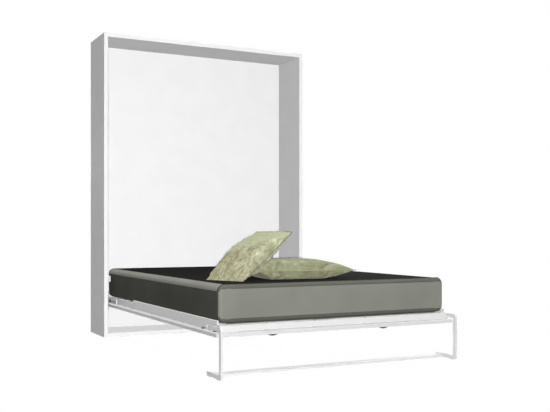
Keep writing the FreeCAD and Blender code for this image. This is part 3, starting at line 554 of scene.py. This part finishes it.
@dataclass(frozen=True)
class Satin(Finish):
    """Satin weave with a tone-on-tone figure. Long floats, drawn coarser than they are so that
    they show, give a soft silky shine that breaks into streaks across the cloth, and the figure
    shows as paler, glossier patches. The streaks and small glints are also painted in the pale
    colour, as painted sheen and painted highlights."""

    # The pale colour of the figure, also laid on as painted sheen streaks and painted glints
    figure_and_sheen: str
    long_mm: float
    wide_mm: float
    # How much deeper the cloth is painted towards one end, as painted shade; on the propped
    # pillow that end sits low
    end_shade: float
    figure_mm: float = 26.0
    float_mm: float = 5.0
    patch_mm: float = 150.0
    glint_mm: float = 11.0
    crease_mm: float = 24.0
    crease_depth_mm: float = 2.2
    # How the figure, the floats and the glints run: their turn and how much they are drawn out
    runs: tuple[tuple[float, float], ...] = ((-24, 0.55), (8, 0.16), (-35, 0.4))
    follows: ClassVar[str] = "UV"

    def surface(self, add: AddNode, place: Wire) -> Links:
        """Make the ground with its painted shade, the figure, the floats' streaks and the glints,
        both painted as sheen, and the creases.

        Args:
            add: adds a node to the material.
            place: the pattern's coordinates.

        Returns:
            What the shader's inputs get.
        """
        flat = add("ShaderNodeMapping", {
            "Vector": place, "Scale": (self.long_mm, self.wide_mm, 1.0)})
        drawn, streaky, glinting = [add("ShaderNodeMapping", {
            "Vector": flat, "Rotation": (0.0, 0.0, math.radians(turn)),
            "Scale": (out, 1.0, 1.0)}) for turn, out in self.runs]
        figure, patch, streak, glint, crease = [add("ShaderNodeTexNoise", {
            "Vector": lay, "Scale": 1 / size, "Detail": detail, "Roughness": rough,
            "Distortion": bent}) for lay, size, detail, rough, bent in (
                (drawn, self.figure_mm, 4.0, 0.7, 0.9), (flat, self.patch_mm, 3.0, 0.5, 0.0),
                (streaky, self.float_mm, 4.0, 0.5, 0.0),
                (glinting, self.glint_mm, 3.0, 0.7, 0.7), (flat, self.crease_mm, 2.0, 0.5, 0.8))]
        leaf = add("ShaderNodeMapRange", {"Value": figure, "From Min": 0.4, "From Max": 0.68},
                   interpolation_type="SMOOTHSTEP")
        along = add("ShaderNodeSeparateXYZ", [place])
        # Painted shade: the share of the main colour falls towards the cloth's low end, with
        # random patches on top
        shade_and_patch = add("ShaderNodeMath", [along, self.end_shade, patch], operation="MULTIPLY_ADD")
        shade_and_patch_share, painted_sheen_share, shining = [add("ShaderNodeMapRange", {
            "Value": value, "From Min": low, "From Max": high, "To Min": 0.0, "To Max": most})
            for value, low, high, most in (
                (shade_and_patch, 0.4 + self.end_shade / 2, 0.58 + self.end_shade / 2, 1.0),
                (streak, 0.35, 0.7, 0.3), (glint, 0.5, 0.66, 0.55))]
        shown = add("ShaderNodeMath", [leaf, 0.42], operation="MULTIPLY")
        # The figure is a pattern; the floats' streaks and the glints are painted sheen and
        # painted highlights
        layers = [(shade_and_patch_share, self.colour), *((share, self.figure_and_sheen) for share in (
            shown, painted_sheen_share, shining))]
        soft = add("ShaderNodeBump", {
            "Height": crease, "Strength": 0.6, "Distance": self.crease_depth_mm * MM})
        return {"Specular IOR Level": 0.25, "Sheen Weight": 0.1, "Sheen Roughness": 0.35,
                "Anisotropic": 0.4, **self.skin(add, layers, {
                    "Height": streak, "Strength": 0.5, "Distance": 0.25 * MM,
                    "Normal": soft}, leaf, (0.1, -0.06))}


# Finishes of the rigid parts, by the record's slots

FINISHES: dict[str, Finish] = {
    "cabinet_board": Melamine("satin_white_melamine_board", "#f2f2f2", "#e8e8e8", 0.42,
                              band="#fafafa", joints=((Axis.Y, BAND_END),)),
    "back_board": Melamine("matt_white_melamine_back", "#fafafa", "#f3f3f3", 0.6, pearl_mm=2.6),
    "front_board": Melamine("satin_white_melamine_front", "#f4f4f4", "#e4e4e4", 0.4,
                            joints=((Axis.Y, -1.99), (Axis.Y, 0.094), (Axis.X, 0.7815),
                                    (Axis.X, -0.7815))),
    "dowel_wood": Beech("plain_beech_dowel", "#d2b184", "#b79468", 0.6),
    "slat_lacquer": Beech("grey_lacquered_slat", "#6d6d66", "#5c5c56", 0.4, fleck="#4a4a45",
                          glue="#43433f"),
    "plated_steel": Metal("zinc_plated_steel", "#d4d7da", "#9a9da1", 0.34),
    "pin_steel": Metal("turned_steel_pin", "#c9ccd0", "#9a9da1", 0.24, mark=MetalMark.TURNED,
                       mark_mm=2.0),
    "strut_chrome": Metal("chromed_strut_rod", "#e6e8ea", "#cfd2d5", 0.1, mark=MetalMark.DRAWN,
                          mark_mm=3.0),
    "strut_black": Moulded("gloss_black_lacquered_tube", "#1b1b1c", "#141415", 0.22,
                           grain_mm=2.0, grain_depth_mm=0.02),
    "rubber_white": Moulded("moulded_white_rubber", "#e2e2e0", "#d6d6d3", 0.7, grain_mm=1.1,
                            grain_depth_mm=0.08),
    "plastic_grey": Moulded("moulded_grey_plastic", "#d0d1d0", "#c3c4c3", 0.5),
    "bush_plastic": Moulded("moulded_natural_acetal", "#e6e4dc", "#d8d5cb", 0.38),
    "frame_paint": PowderCoat("white_powder_coat_frame", "#fbfbfa", "#f3f3f2", 0.38),
    "leg_paint": PowderCoat("white_powder_coat_leg", "#fafafa", "#f2f2f2", 0.34),
    "handle_dark": Moulded("dark_lacquered_handle", "#353536", "#29292a", 0.36, grain_mm=1.2,
                           grain_depth_mm=0.03),
}


class Paintbox:
    """Makes each finish once and puts it on the pieces."""

    def __init__(self) -> None:
        """Start with no material made."""
        self.made: dict[str, bpy.types.Material] = {}

    def dress(self, piece: Piece, *finishes: Finish) -> None:
        """Give a piece its materials.

        Args:
            piece: the mesh object.
            finishes: its finishes, in the order of its face indices.
        """
        cloths = [polygon.material_index for polygon in piece.data.polygons]
        piece.data.materials.clear()
        for finish in finishes:
            if finish.name not in self.made:
                self.made[finish.name] = finish.make()
            piece.data.materials.append(self.made[finish.name])
        if len(finishes) > 1:
            piece.data.polygons.foreach_set("material_index", cloths)


@dataclass
class RigidParts:
    """The solids that keep their shape: boards, rails, leg, hinges and fasteners."""

    paintbox: Paintbox
    left_to_cloth: tuple[str, ...] = ("mattress", "lying_pillow", "leaning_pillow")

    def dress(self) -> None:
        """Give every solid that stays the finish of its slot."""
        for row in frame["record"]["subparts"]:
            if row["node"] not in self.left_to_cloth:
                self.paintbox.dress(frame["nodes"][row["node"]], FINISHES[row["material_slot"]])
                LOG.info("dressed %s as %s", row["node"], row["material_slot"])


@dataclass
class SewnPiece:
    """A padded piece in a cloth cover, with a cord along its seams."""

    paintbox: Paintbox

    def dress(self, piece: Piece, cord: Piece, *finishes: Finish) -> None:
        """Dress the cover and its cord, and make them one.

        Args:
            piece: the cover.
            cord: the cord.
            finishes: the cover's cloths by face index, and last the cord's finish.
        """
        self.paintbox.dress(piece, *finishes)
        self.paintbox.dress(cord, finishes[-1])
        take_up(piece)
        cord.select_set(True)
        bpy.ops.object.join()
        put_down()


class Panel(Enum):
    """The cloths of the mattress, as face indices."""

    TOP = 0
    BAND = 1
    SIDE = 2
    END = 3
    END_RIM_SHADE = 4


@dataclass
class Mattress(SewnPiece):
    """The mattress: a firm core in a cover of knitted cloths."""

    half_width: float = 0.750
    foot: float = -1.953
    head: float = -0.003
    low: float = 0.2838
    high: float = 0.4888
    # The rounding of the long edges and of the rims of the ends, and their steps
    edge: float = 0.034
    edge_steps: int = 5
    end_edge: float = 0.020
    end_edge_steps: int = 4
    # The net of points that the filling moves
    step: float = 0.052
    waist: tuple[float, ...] = (0.12, 0.37, 0.63, 0.88)
    round_levels: int = 2
    # How far a cloth swells, how wide and deep its seams draw it in, and its uneven waves, each
    # as a height and the number of waves in a metre
    puff: float = 0.0028
    seam_width: float = 0.028
    seam_depth: float = 0.0008
    waves: tuple[tuple[float, float], ...] = ((0.0007, 7.0), (0.0004, 19.0))
    # The normal's upward part, above which a face is flat or is on an end's rim
    flat_normal: float = 0.995
    rim_normal: float = 0.12
    finishes: tuple[Finish, ...] = (
        Ticking("charcoal_knitted_top", "#1b1a19", "#141312", 0.9),
        Ticking("grey_knitted_band", "#999a92", "#8c8d85", 0.85),
        Ticking("dark_grey_knitted_side", "#5b5c56", "#4d4e48", 0.88),
        Ticking("grey_knitted_end", "#999b92", "#888a81", 0.85),
        # The ends' top and bottom rims: the end's grey knit painted deeper, as painted shade
        # where they turn up and down
        Ticking("end_rim_knit_with_painted_shade", "#6a6b64", "#5e5f58", 0.87),
        Ticking("charcoal_seam_cord", "#3b3b37", "#2c2c29", 0.8, cell_mm=3.0),
    )
    ends: ClassVar[set[int]] = {Panel.END.value, Panel.END_RIM_SHADE.value}

    def build(self) -> Piece:
        """Model the mattress and set it on the bed.

        Returns:
            The finished piece.
        """
        piece = self.block()
        self.choose_cloths(piece)
        seams = self.seam_places(piece)
        cord = cord_from_edges(piece, "mattress_seam_cord", self.on_end_seam)
        self.fill_out(piece, seams)
        round_off(piece, self.round_levels)
        self.rest_flat(piece)
        smooth(piece, SOFT_CREASE)
        self.dress(piece, cord, *self.finishes)
        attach(piece, "bed")
        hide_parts("mattress")
        return piece

    @property
    def flat_run(self) -> tuple[float, float]:
        """Where the long faces start and end, between the rims of the ends."""
        return (self.foot + self.puff + self.end_edge, self.head - self.puff - self.end_edge)

    def block(self) -> Piece:
        """Round a block's long edges, then the rims of its ends, and slice it into a net.

        Returns:
            The block, smaller all round by what the filling adds.
        """
        put_down()
        half = self.half_width - self.puff
        foot = self.foot + self.puff
        head = self.head - self.puff
        top = self.high - self.puff
        bpy.ops.mesh.primitive_cube_add(
            size=1.0, location=(0.0, (foot + head) / 2, (self.low + top) / 2),
            scale=(2 * half, head - foot, top - self.low))
        piece = bpy.context.active_object
        piece.name = "sewn_mattress"
        bpy.ops.object.transform_apply(location=True, rotation=True, scale=True)
        select_edges(piece, lambda edge: abs(
            edge.verts[0].co.y - edge.verts[1].co.y) > self.half_width)
        bpy.ops.mesh.bevel(offset=self.edge, segments=self.edge_steps, profile=0.5,
                           affect="EDGES")
        select_edges(piece, lambda edge: all(
            point.co.y < foot + MM for point in edge.verts) or all(
            point.co.y > head - MM for point in edge.verts))
        bpy.ops.mesh.bevel(offset=self.end_edge, segments=self.end_edge_steps, profile=0.5,
                           affect="EDGES")
        put_down()
        inner = half - self.edge
        slice_along(piece, Axis.X, spread(-inner, inner, self.step))
        slice_along(piece, Axis.Y, spread(*self.flat_run, self.step))
        slice_along(piece, Axis.Z, [
            self.low + self.edge + share * (top - self.low - 2 * self.edge)
            for share in self.waist])
        return piece

    def choose_cloths(self, piece: Piece) -> None:
        """Say for each face which cloth it is, by its place and the way it faces.

        Args:
            piece: the sliced block.
        """
        start, end = self.flat_run
        for polygon in piece.data.polygons:
            centre = polygon.center
            normal = polygon.normal
            if not start < centre.y < end:
                # An end's rims that face up or down get the deeper cloth, which is painted shade
                cloth = Panel.END_RIM_SHADE if abs(normal.z) > self.rim_normal else Panel.END
            elif normal.z > self.flat_normal:
                cloth = Panel.TOP
            elif centre.z > self.high - self.puff - self.edge:
                cloth = Panel.BAND
            else:
                cloth = Panel.SIDE
            polygon.material_index = cloth.value

    def on_seam(self, edge: bmesh.types.BMEdge) -> bool:
        """Tell whether two cloths meet at an edge; an end and its rim count as one."""
        cloths = {face.material_index for face in edge.link_faces}
        return len(cloths) == 2 and cloths != self.ends

    def on_end_seam(self, edge: bmesh.types.BMEdge) -> bool:
        """Tell whether an edge is on the seam round an end, which has the cord."""
        return self.on_seam(edge) and any(
            face.material_index in self.ends for face in edge.link_faces)

    def seam_places(self, piece: Piece) -> list[Vector]:
        """Note where two cloths meet.

        Args:
            piece: the sliced block, with its cloths chosen.

        Returns:
            The ends and the middles of the edges there.
        """
        select_edges(piece, self.on_seam)
        seam = [edge for edge in bmesh.from_edit_mesh(piece.data).edges if edge.select]
        places = [point.co.copy() for edge in seam for point in edge.verts]
        places += [(edge.verts[0].co + edge.verts[1].co) / 2 for edge in seam]
        put_down()
        return places

    def fill_out(self, piece: Piece, seams: list[Vector]) -> None:
        """Swell each cloth between its seams, with the slight unevenness of sewn work.

        Args:
            piece: the sliced block.
            seams: places along the seams.
        """
        tree = KDTree(len(seams))
        for number, place in enumerate(seams):
            tree.insert(place, number)
        tree.balance()
        for point in piece.data.vertices:
            away = tree.find(point.co)[2]
            rise = 1 - math.exp(-((away / self.seam_width) ** 2))
            wave = sum(height * noise.noise(point.co * rate) for height, rate in self.waves)
            point.co += point.normal * rise * (self.puff - self.seam_depth + wave)

    def rest_flat(self, piece: Piece) -> None:
        """Keep the cover off the slats below and the pillows above."""
        for point in piece.data.vertices:
            point.co.z = min(max(point.co.z, self.low), self.high)


@dataclass
class Pillow(SewnPiece):
    """A loose pillow: two flat cloths sewn round the edge and blown up by their filling."""

    name: str
    node: str
    long: float
    wide: float
    thick: float
    # Where it lies, how far it is turned and sloped in degrees, and the height it lies at
    centre: tuple[float, float]
    turn: float
    slope: float
    floor: float
    # The share of its thickness that is left when the bed shuts, and the share under the seam
    keep: float
    under_share: float
    # Over which share of each half it thins to its end
    low_taper: float
    high_taper: float
    # The satin's main and deep colours, the pale one of its figure and its painted sheen, and how
    # much painted shade deepens it towards one end
    cloth: tuple[str, str, str]
    end_shade: float
    roughness: float = 0.42
    taper_power: float = 0.6
    sink: float = 0.006
    # How high it is kept over the mattress, and higher at the front, clear of the leg's plate
    clear: float = 0.4 * MM
    clear_front: float = -1.805
    clear_ease: float = 0.045
    clear_high: float = 0.0
    clear_power: float = 1.5
    # The flat cloths: their net, how much larger they are, and how far they stand apart
    mesh_step: float = 0.0095
    gather: float = 1.07
    rim_gap: float = 0.005
    middle_gap: float = 0.010
    # The blowing up: its force and length, and how far a point may go
    pressure: float = 4.0
    frames: int = 20
    reach: float = 0.072
    # How much of the folds and of the hems' waves is left, how far the hems bulge, and how full
    # the plain form is across
    folds: float = 0.5
    hem_waves: float = 0.25
    hem_power: int = 8
    bulge: tuple[float, float] = (0.0, 0.02)
    fullness: float = 3.0
    round_levels: int = 1
    cord_finish: Finish = Ticking("grey_green_piping", "#8b8d77", "#767763", 0.7, cell_mm=3.0)
    # A tight light cloth for the solver; the filling's pressure does the rest
    weave: ClassVar[dict[str, float]] = {
        "quality": 7, "mass": 0.25, "tension_stiffness": 18, "compression_stiffness": 12,
        "shear_stiffness": 6, "bending_stiffness": 0.25, "air_damping": 2}

    def build(self) -> Piece:
        """Model the pillow and lay it on the mattress.

        Returns:
            The finished piece.
        """
        piece, rim = self.sew()
        self.blow_up(piece)
        self.fit(piece)
        cord = cord_from_edges(piece, self.name + "_piping", lambda edge: all(
            point.index in rim for point in edge.verts))
        self.place(piece)
        self.place(cord)
        self.settle(piece, cord)
        round_off(piece, self.round_levels)
        smooth(piece, SOFT_CREASE)
        colour, deep, figure_and_sheen = self.cloth
        satin = Satin("satin_of_" + self.name, colour, deep, self.roughness, figure_and_sheen=figure_and_sheen,
                      long_mm=self.long / MM, wide_mm=self.wide / MM, end_shade=self.end_shade)
        self.dress(piece, cord, satin, self.cord_finish)
        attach(piece, "bed")
        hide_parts(self.node)
        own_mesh(piece)
        return piece

    def sew(self) -> tuple[Piece, set[int]]:
        """Make the two flat cloths, closed round their rim.

        Returns:
            The piece, and the numbers of the points on the upper cloth's rim.
        """
        put_down()
        along = round(self.long * self.gather / self.mesh_step)
        across = round(self.wide * self.gather / self.mesh_step)
        bpy.ops.mesh.primitive_grid_add(x_subdivisions=along, y_subdivisions=across, size=1.0)
        piece = bpy.context.active_object
        piece.name = self.name
        piece.scale = (self.long * self.gather, self.wide * self.gather, 1.0)
        bpy.ops.object.transform_apply(location=True, rotation=True, scale=True)
        points = piece.data.vertices
        half_long = max(point.co.x for point in points)
        half_wide = max(point.co.y for point in points)
        rim = {point.index for point in points
               if abs(point.co.x) > half_long - NEAR or abs(point.co.y) > half_wide - NEAR}
        for point in points:
            u = point.co.x / half_long
            v = point.co.y / half_wide
            point.co.z = self.middle_gap * (1 - u ** 4) * (1 - v ** 4) + self.rim_gap / 2
        shell = piece.modifiers.new("under", "SOLIDIFY")
        shell.thickness = self.rim_gap
        shell.offset = -1.0
        apply_all(piece)
        points = piece.data.vertices
        count = len(points) // 2
        for point in points[count:]:
            upper = points[point.index - count].co
            point.co = Vector((upper.x, upper.y, -upper.z))
        return piece, rim

    @staticmethod
    def hem_key(at: int, place: Vector) -> tuple[int, bool, bool, int]:
        """Name the point of a hem that is straight out from a place, along X (0) or Y (1)."""
        return at, place[at] > 0, place.z > 0, round(place[1 - at] / MM)

    def blow_up(self, piece: Piece) -> None:
        """Fill the pillow, then draw its hems straight again and even out its folds.

        Args:
            piece: the flat pillow.
        """
        start = [point.co.copy() for point in piece.data.vertices]
        self.simulate(piece, start)
        half = [max(place[at] for place in start) for at in (0, 1)]
        hem = {self.hem_key(at, place): point.co.copy()
               for point, place in zip(piece.data.vertices, start)
               for at in (0, 1) if abs(place[at]) > half[at] - NEAR}
        tallest = max(abs(point.co.z) for point in piece.data.vertices)
        folds = self.folds
        for point, place in zip(piece.data.vertices, start):
            share = [place[at] / half[at] for at in (0, 1)]
            wave = 0.0
            for at in (0, 1):
                end = hem[self.hem_key(at, place)]
                out = half[at] * (1 + self.bulge[at] * (1 - share[1 - at] ** 2))
                point.co[at] *= out / max(abs(end[at]), MM)
                wave += end.z * abs(share[at]) ** self.hem_power * (1 - self.hem_waves)
            dome = max(0.0, (1 - share[0] ** 4) * (1 - abs(share[1]) ** self.fullness)) ** 0.5
            plain = math.copysign(self.thick / 2 * dome + MM, place.z)
            folded = (point.co.z - wave) * self.thick / 2 / tallest
            point.co.z = plain + (folded - plain) * folds

    def simulate(self, piece: Piece, start: list[Vector]) -> None:
        """Blow the cloths up by the pressure of their filling.

        Args:
            piece: the flat pillow.
            start: where its points are before.
        """
        take_up(piece)
        bpy.ops.object.modifier_add(type="CLOTH")
        cloth = piece.modifiers[-1]
        for setting, value in self.weave.items():
            setattr(cloth.settings, setting, value)
        cloth.settings.use_pressure = True
        cloth.settings.uniform_pressure_force = self.pressure
        cloth.settings.effector_weights.gravity = 0.0
        cloth.collision_settings.use_collision = False
        cloth.point_cache.frame_start = 1
        cloth.point_cache.frame_end = self.frames
        for number in range(1, self.frames + 1):
            bpy.context.scene.frame_set(number)
        apply_all(piece)
        bpy.context.scene.frame_set(1)
        for point, place in zip(piece.data.vertices, start):
            moved = point.co - place
            if moved.length > self.reach:
                point.co = place + moved * (self.reach / moved.length)

    def fit(self, piece: Piece) -> None:
        """Bring the blown-up pillow to its size, with its ends thinned.

        Args:
            piece: the pillow, lying flat about the origin.
        """
        points = [point.co for point in piece.data.vertices]
        low = [min(point[at] for point in points) for at in range(3)]
        high = [max(point[at] for point in points) for at in range(3)]
        wanted = (self.long, self.wide, self.thick)
        for point in points:
            for at in range(3):
                middle = (low[at] + high[at]) / 2
                point[at] = (point[at] - middle) * wanted[at] / (high[at] - low[at])
            point.z *= 2 * (self.under_share if point.z < 0 else 1 - self.under_share)
            along = 2 * point.x / self.long
            taper = self.high_taper if along > 0 else self.low_taper
            left = max(0.0, 1 - abs(along))
            point.z *= min(1.0, left / taper) ** self.taper_power

    def place(self, piece: Piece) -> None:
        """Slope and turn the pillow, and move it over its spot.

        Args:
            piece: the pillow or its piping.
        """
        turn = Matrix.Rotation(math.radians(self.turn), 4, "Z")
        slope = Matrix.Rotation(math.radians(self.slope), 4, "Y")
        spot = Matrix.Translation((*self.centre, 0.0))
        piece.data.transform(spot @ turn @ slope)

    def settle(self, *pieces: Piece) -> None:
        """Set the pillow down, pressed flat where it meets the mattress.

        Its front corner stays above the leg's plate, which lies there while the bed is up.

        Args:
            pieces: the pillow and its piping.
        """
        points = [point.co for piece in pieces for point in piece.data.vertices]
        # Its lowest point sinks below the mattress's top, so that it touches with an area
        drop = self.floor - self.sink - min(point.z for point in points)
        for point in points:
            near = (self.clear_front + self.clear_ease - point.y) / self.clear_ease
            least = self.clear + self.clear_high * min(1.0, max(0.0, near)) ** self.clear_power
            point.z = max(point.z + drop, self.floor + least)


@dataclass(frozen=True)
class Lamp:
    """A lamp, with its tip about X and Y in degrees; untipped, it shines down."""

    name: str
    level: float
    tip: tuple[float, float]
    shadow: bool = False


@dataclass
class Studio:
    """The floor, the lamps and the camera."""

    floor_size: float = 60.0
    floor_colour: str = "#fafafa"
    floor_bounce: str = "#e1e1e1"
    # The floor shows its shadow by this share near the bed's middle, and none farther off
    shadow_share: float = 0.04
    shadow_middle: float = -1.0
    shadow_near: float = 1.2
    shadow_far: float = 3.2
    camera_place: tuple[float, float, float] = (-2.4991, -5.6860, 0.7703)
    camera_turn: float = -25.5906
    sensor: float = 36.0
    # The focal length that fits the photograph, in pixels of its 550 across
    lens_pixels: float = 790.018
    pixels_across: int = 550
    shift: tuple[float, float] = (0.0897, 0.0447)
    # The main lamp hangs this far behind the camera, and a part of its light throws no shadow
    lamp_behind: float = 0.3
    lamp_size: float = 0.03
    lamp_power: float = 39.0
    lamp_through: float = 0.25
    lamp_bounces: int = 0
    fill_place: tuple[float, float, float] = (0.0, 0.0, 3.0)
    # Weak far lamps for the faces that the main lamp can't reach
    fills: tuple[Lamp, ...] = (
        Lamp("fill_from_above", 2.4, (0.0, 0.0)),
        Lamp("fill_from_below", 0.7, (180.0, 0.0)),
        Lamp("fill_from_right", 0.9, (0.0, 100.0)),
        Lamp("fill_from_behind", 2.2, (-85.0, 0.0), shadow=True),
    )
    # The sky's lowest and highest strength, how narrow its bright part is, and how high it is
    sky_level: float = 0.02
    sky_top: float = 0.14
    sky_power: float = 3.0
    sky_rise: float = 52.0

    def build(self) -> None:
        """Set up floor, world, lamps, camera and the view's colours."""
        self.lay_floor()
        self.hang_sky()
        self.light()
        self.aim()
        bpy.context.scene.view_settings.view_transform = "Standard"

    def lay_floor(self) -> None:
        """Lay a plain pale floor that stays white to the camera but keeps a faint shadow."""
        put_down()
        bpy.ops.mesh.primitive_plane_add(size=self.floor_size, location=(0.0, 0.0, 0.0))
        floor = bpy.context.active_object
        floor.name = "floor"
        bpy.ops.object.transform_apply(location=True, rotation=True, scale=True)
        material = bpy.data.materials.new("plain_pale_floor")
        add = partial(add_node, empty_tree(material))
        place = add("ShaderNodeTexCoord").outputs["Object"]
        centred = add("ShaderNodeMapping", {
            "Vector": place, "Location": (0.0, -self.shadow_middle, 0.0)})
        far = add("ShaderNodeVectorMath", [centred], operation="LENGTH")
        share = add("ShaderNodeMapRange", {
            "Value": far, "From Min": self.shadow_near, "From Max": self.shadow_far,
            "To Min": 1 - self.shadow_share, "To Max": 1.0})
        seen = self.seen_ray(add)
        colour = add("ShaderNodeMix", [seen, self.floor_bounce, self.floor_colour],
                     data_type="RGBA")
        plain = add("ShaderNodeBsdfDiffuse", {"Color": colour})
        glow = add("ShaderNodeEmission", {"Color": WHITE, "Strength": 1.0})
        factor = add("ShaderNodeMath", [seen, share], operation="MULTIPLY")
        mixed = add("ShaderNodeMixShader", [factor, plain, glow])
        add("ShaderNodeOutputMaterial", {"Surface": mixed})
        floor.data.materials.append(material)

    def seen_ray(self, add: AddNode) -> bpy.types.Node:
        """Tell camera, mirror and glass rays, which see white, from the ones that light.

        Args:
            add: adds a node to the floor or the sky.

        Returns:
            A node that gives one for such a ray and else nought.
        """
        rays = add("ShaderNodeLightPath").outputs
        seen = add("ShaderNodeMath", [
            rays["Is Camera Ray"], rays["Is Glossy Ray"]], operation="MAXIMUM")
        return add("ShaderNodeMath", [seen, rays["Is Transmission Ray"]], operation="MAXIMUM")

    def hang_sky(self) -> None:
        """Hang a faint sky that is brighter above the front, and white to the camera."""
        world = bpy.data.worlds.new("soft_studio")
        bpy.context.scene.world = world
        add = partial(add_node, empty_tree(world))
        ray = add("ShaderNodeTexCoord").outputs["Generated"]
        rise = math.radians(self.sky_rise)
        toward = add("ShaderNodeVectorMath", [
            ray, (0.0, -math.cos(rise), math.sin(rise))], operation="DOT_PRODUCT")
        ahead = add("ShaderNodeMath", [toward, 0.0], operation="MAXIMUM")
        bent = add("ShaderNodeMath", [ahead, self.sky_power], operation="POWER")
        level = add("ShaderNodeMapRange", {
            "Value": bent, "To Min": self.sky_level, "To Max": self.sky_top})
        shown = add("ShaderNodeMix", [self.seen_ray(add), level, 1.0], data_type="FLOAT")
        back = add("ShaderNodeBackground", {"Color": WHITE, "Strength": shown})
        add("ShaderNodeOutputWorld", {"Surface": back})

    def light(self) -> None:
        """Light the object from just behind the camera, and fill in from four sides.

        The main lamp's light doesn't weaken with distance, so the cabinet gets as much as the
        foot, and no lamp's light is thrown on from one board to the next.
        """
        turn = math.radians(self.camera_turn)
        spot = Vector(self.camera_place) + self.lamp_behind * Vector((
            math.sin(turn), -math.cos(turn), 0.0))
        for name, part, shadow in (("even_front_lamp", 1 - self.lamp_through, True),
                                   ("even_front_fill", self.lamp_through, False)):
            lamp = Lamp(name, self.lamp_power * part, (0.0, 0.0), shadow)
            light = self.hang_lamp("POINT", lamp, spot)
            light.shadow_soft_size = self.lamp_size
            add = partial(add_node, empty_tree(light))
            even = add("ShaderNodeLightFalloff", {"Strength": 1.0})
            shine = add("ShaderNodeEmission", {"Strength": even.outputs["Constant"]})
            add("ShaderNodeOutputLight", {"Surface": shine})
        for lamp in self.fills:
            self.hang_lamp("SUN", lamp, self.fill_place)

    def hang_lamp(self, kind: str, lamp: Lamp, place: Sequence[float]) -> bpy.types.Light:
        """Hang one lamp, which lights directly only.

        Args:
            kind: Blender's type of lamp.
            lamp: what it is like.
            place: where it hangs.

        Returns:
            Its light.
        """
        put_down()
        bpy.ops.object.light_add(type=kind, location=place, rotation=(
            math.radians(lamp.tip[0]), math.radians(lamp.tip[1]), 0.0))
        hung = bpy.context.active_object
        hung.name = lamp.name
        hung.data.energy = lamp.level
        hung.data.use_shadow = lamp.shadow
        hung.data.cycles.max_bounces = self.lamp_bounces
        return hung.data

    def aim(self) -> None:
        """Stand the camera where the photograph was taken from."""
        put_down()
        bpy.ops.object.camera_add(location=self.camera_place, rotation=(
            math.radians(90), 0.0, math.radians(self.camera_turn)))
        camera = bpy.context.active_object
        camera.data.sensor_width = self.sensor
        camera.data.lens = self.lens_pixels / self.pixels_across * self.sensor
        camera.data.shift_x, camera.data.shift_y = self.shift
        bpy.context.scene.camera = camera


def main() -> None:
    logging.basicConfig(level=logging.INFO, format="%(name)s: %(message)s")
    paintbox = Paintbox()
    Studio().build()
    RigidParts(paintbox).dress()
    mattress = Mattress(paintbox)
    flat_pillow = Pillow(
        paintbox, "flat_pillow", "lying_pillow", long=0.629, wide=0.362, thick=0.121,
        centre=(-0.080, -1.608), turn=-10.0, slope=0.0, floor=mattress.high, keep=0.21,
        under_share=0.46, low_taper=0.35, high_taper=0.75, clear_high=0.0335, fullness=4.0,
        cloth=("#8b8d6b", "#737150", "#a4a88c"), end_shade=0.0,
        cord_finish=Ticking("sage_piping", "#a4a687", "#8f9073", 0.7, cell_mm=3.0))
    propped_pillow = Pillow(
        paintbox, "propped_pillow", "leaning_pillow", long=0.600, wide=0.284, thick=0.118,
        centre=(-0.364, -1.562), turn=27.6, slope=-28.2, floor=mattress.high, keep=0.19,
        under_share=0.45, low_taper=0.8, high_taper=1.0, taper_power=0.75, bulge=(0.0, 0.06),
        cloth=("#adb087", "#746c46", "#cdd1b4"), end_shade=0.5)
    for sewn in (mattress, flat_pillow, propped_pillow):
        LOG.info("built %s", sewn.build().name)
    put_down()


if __name__ == "__main__":
    main()
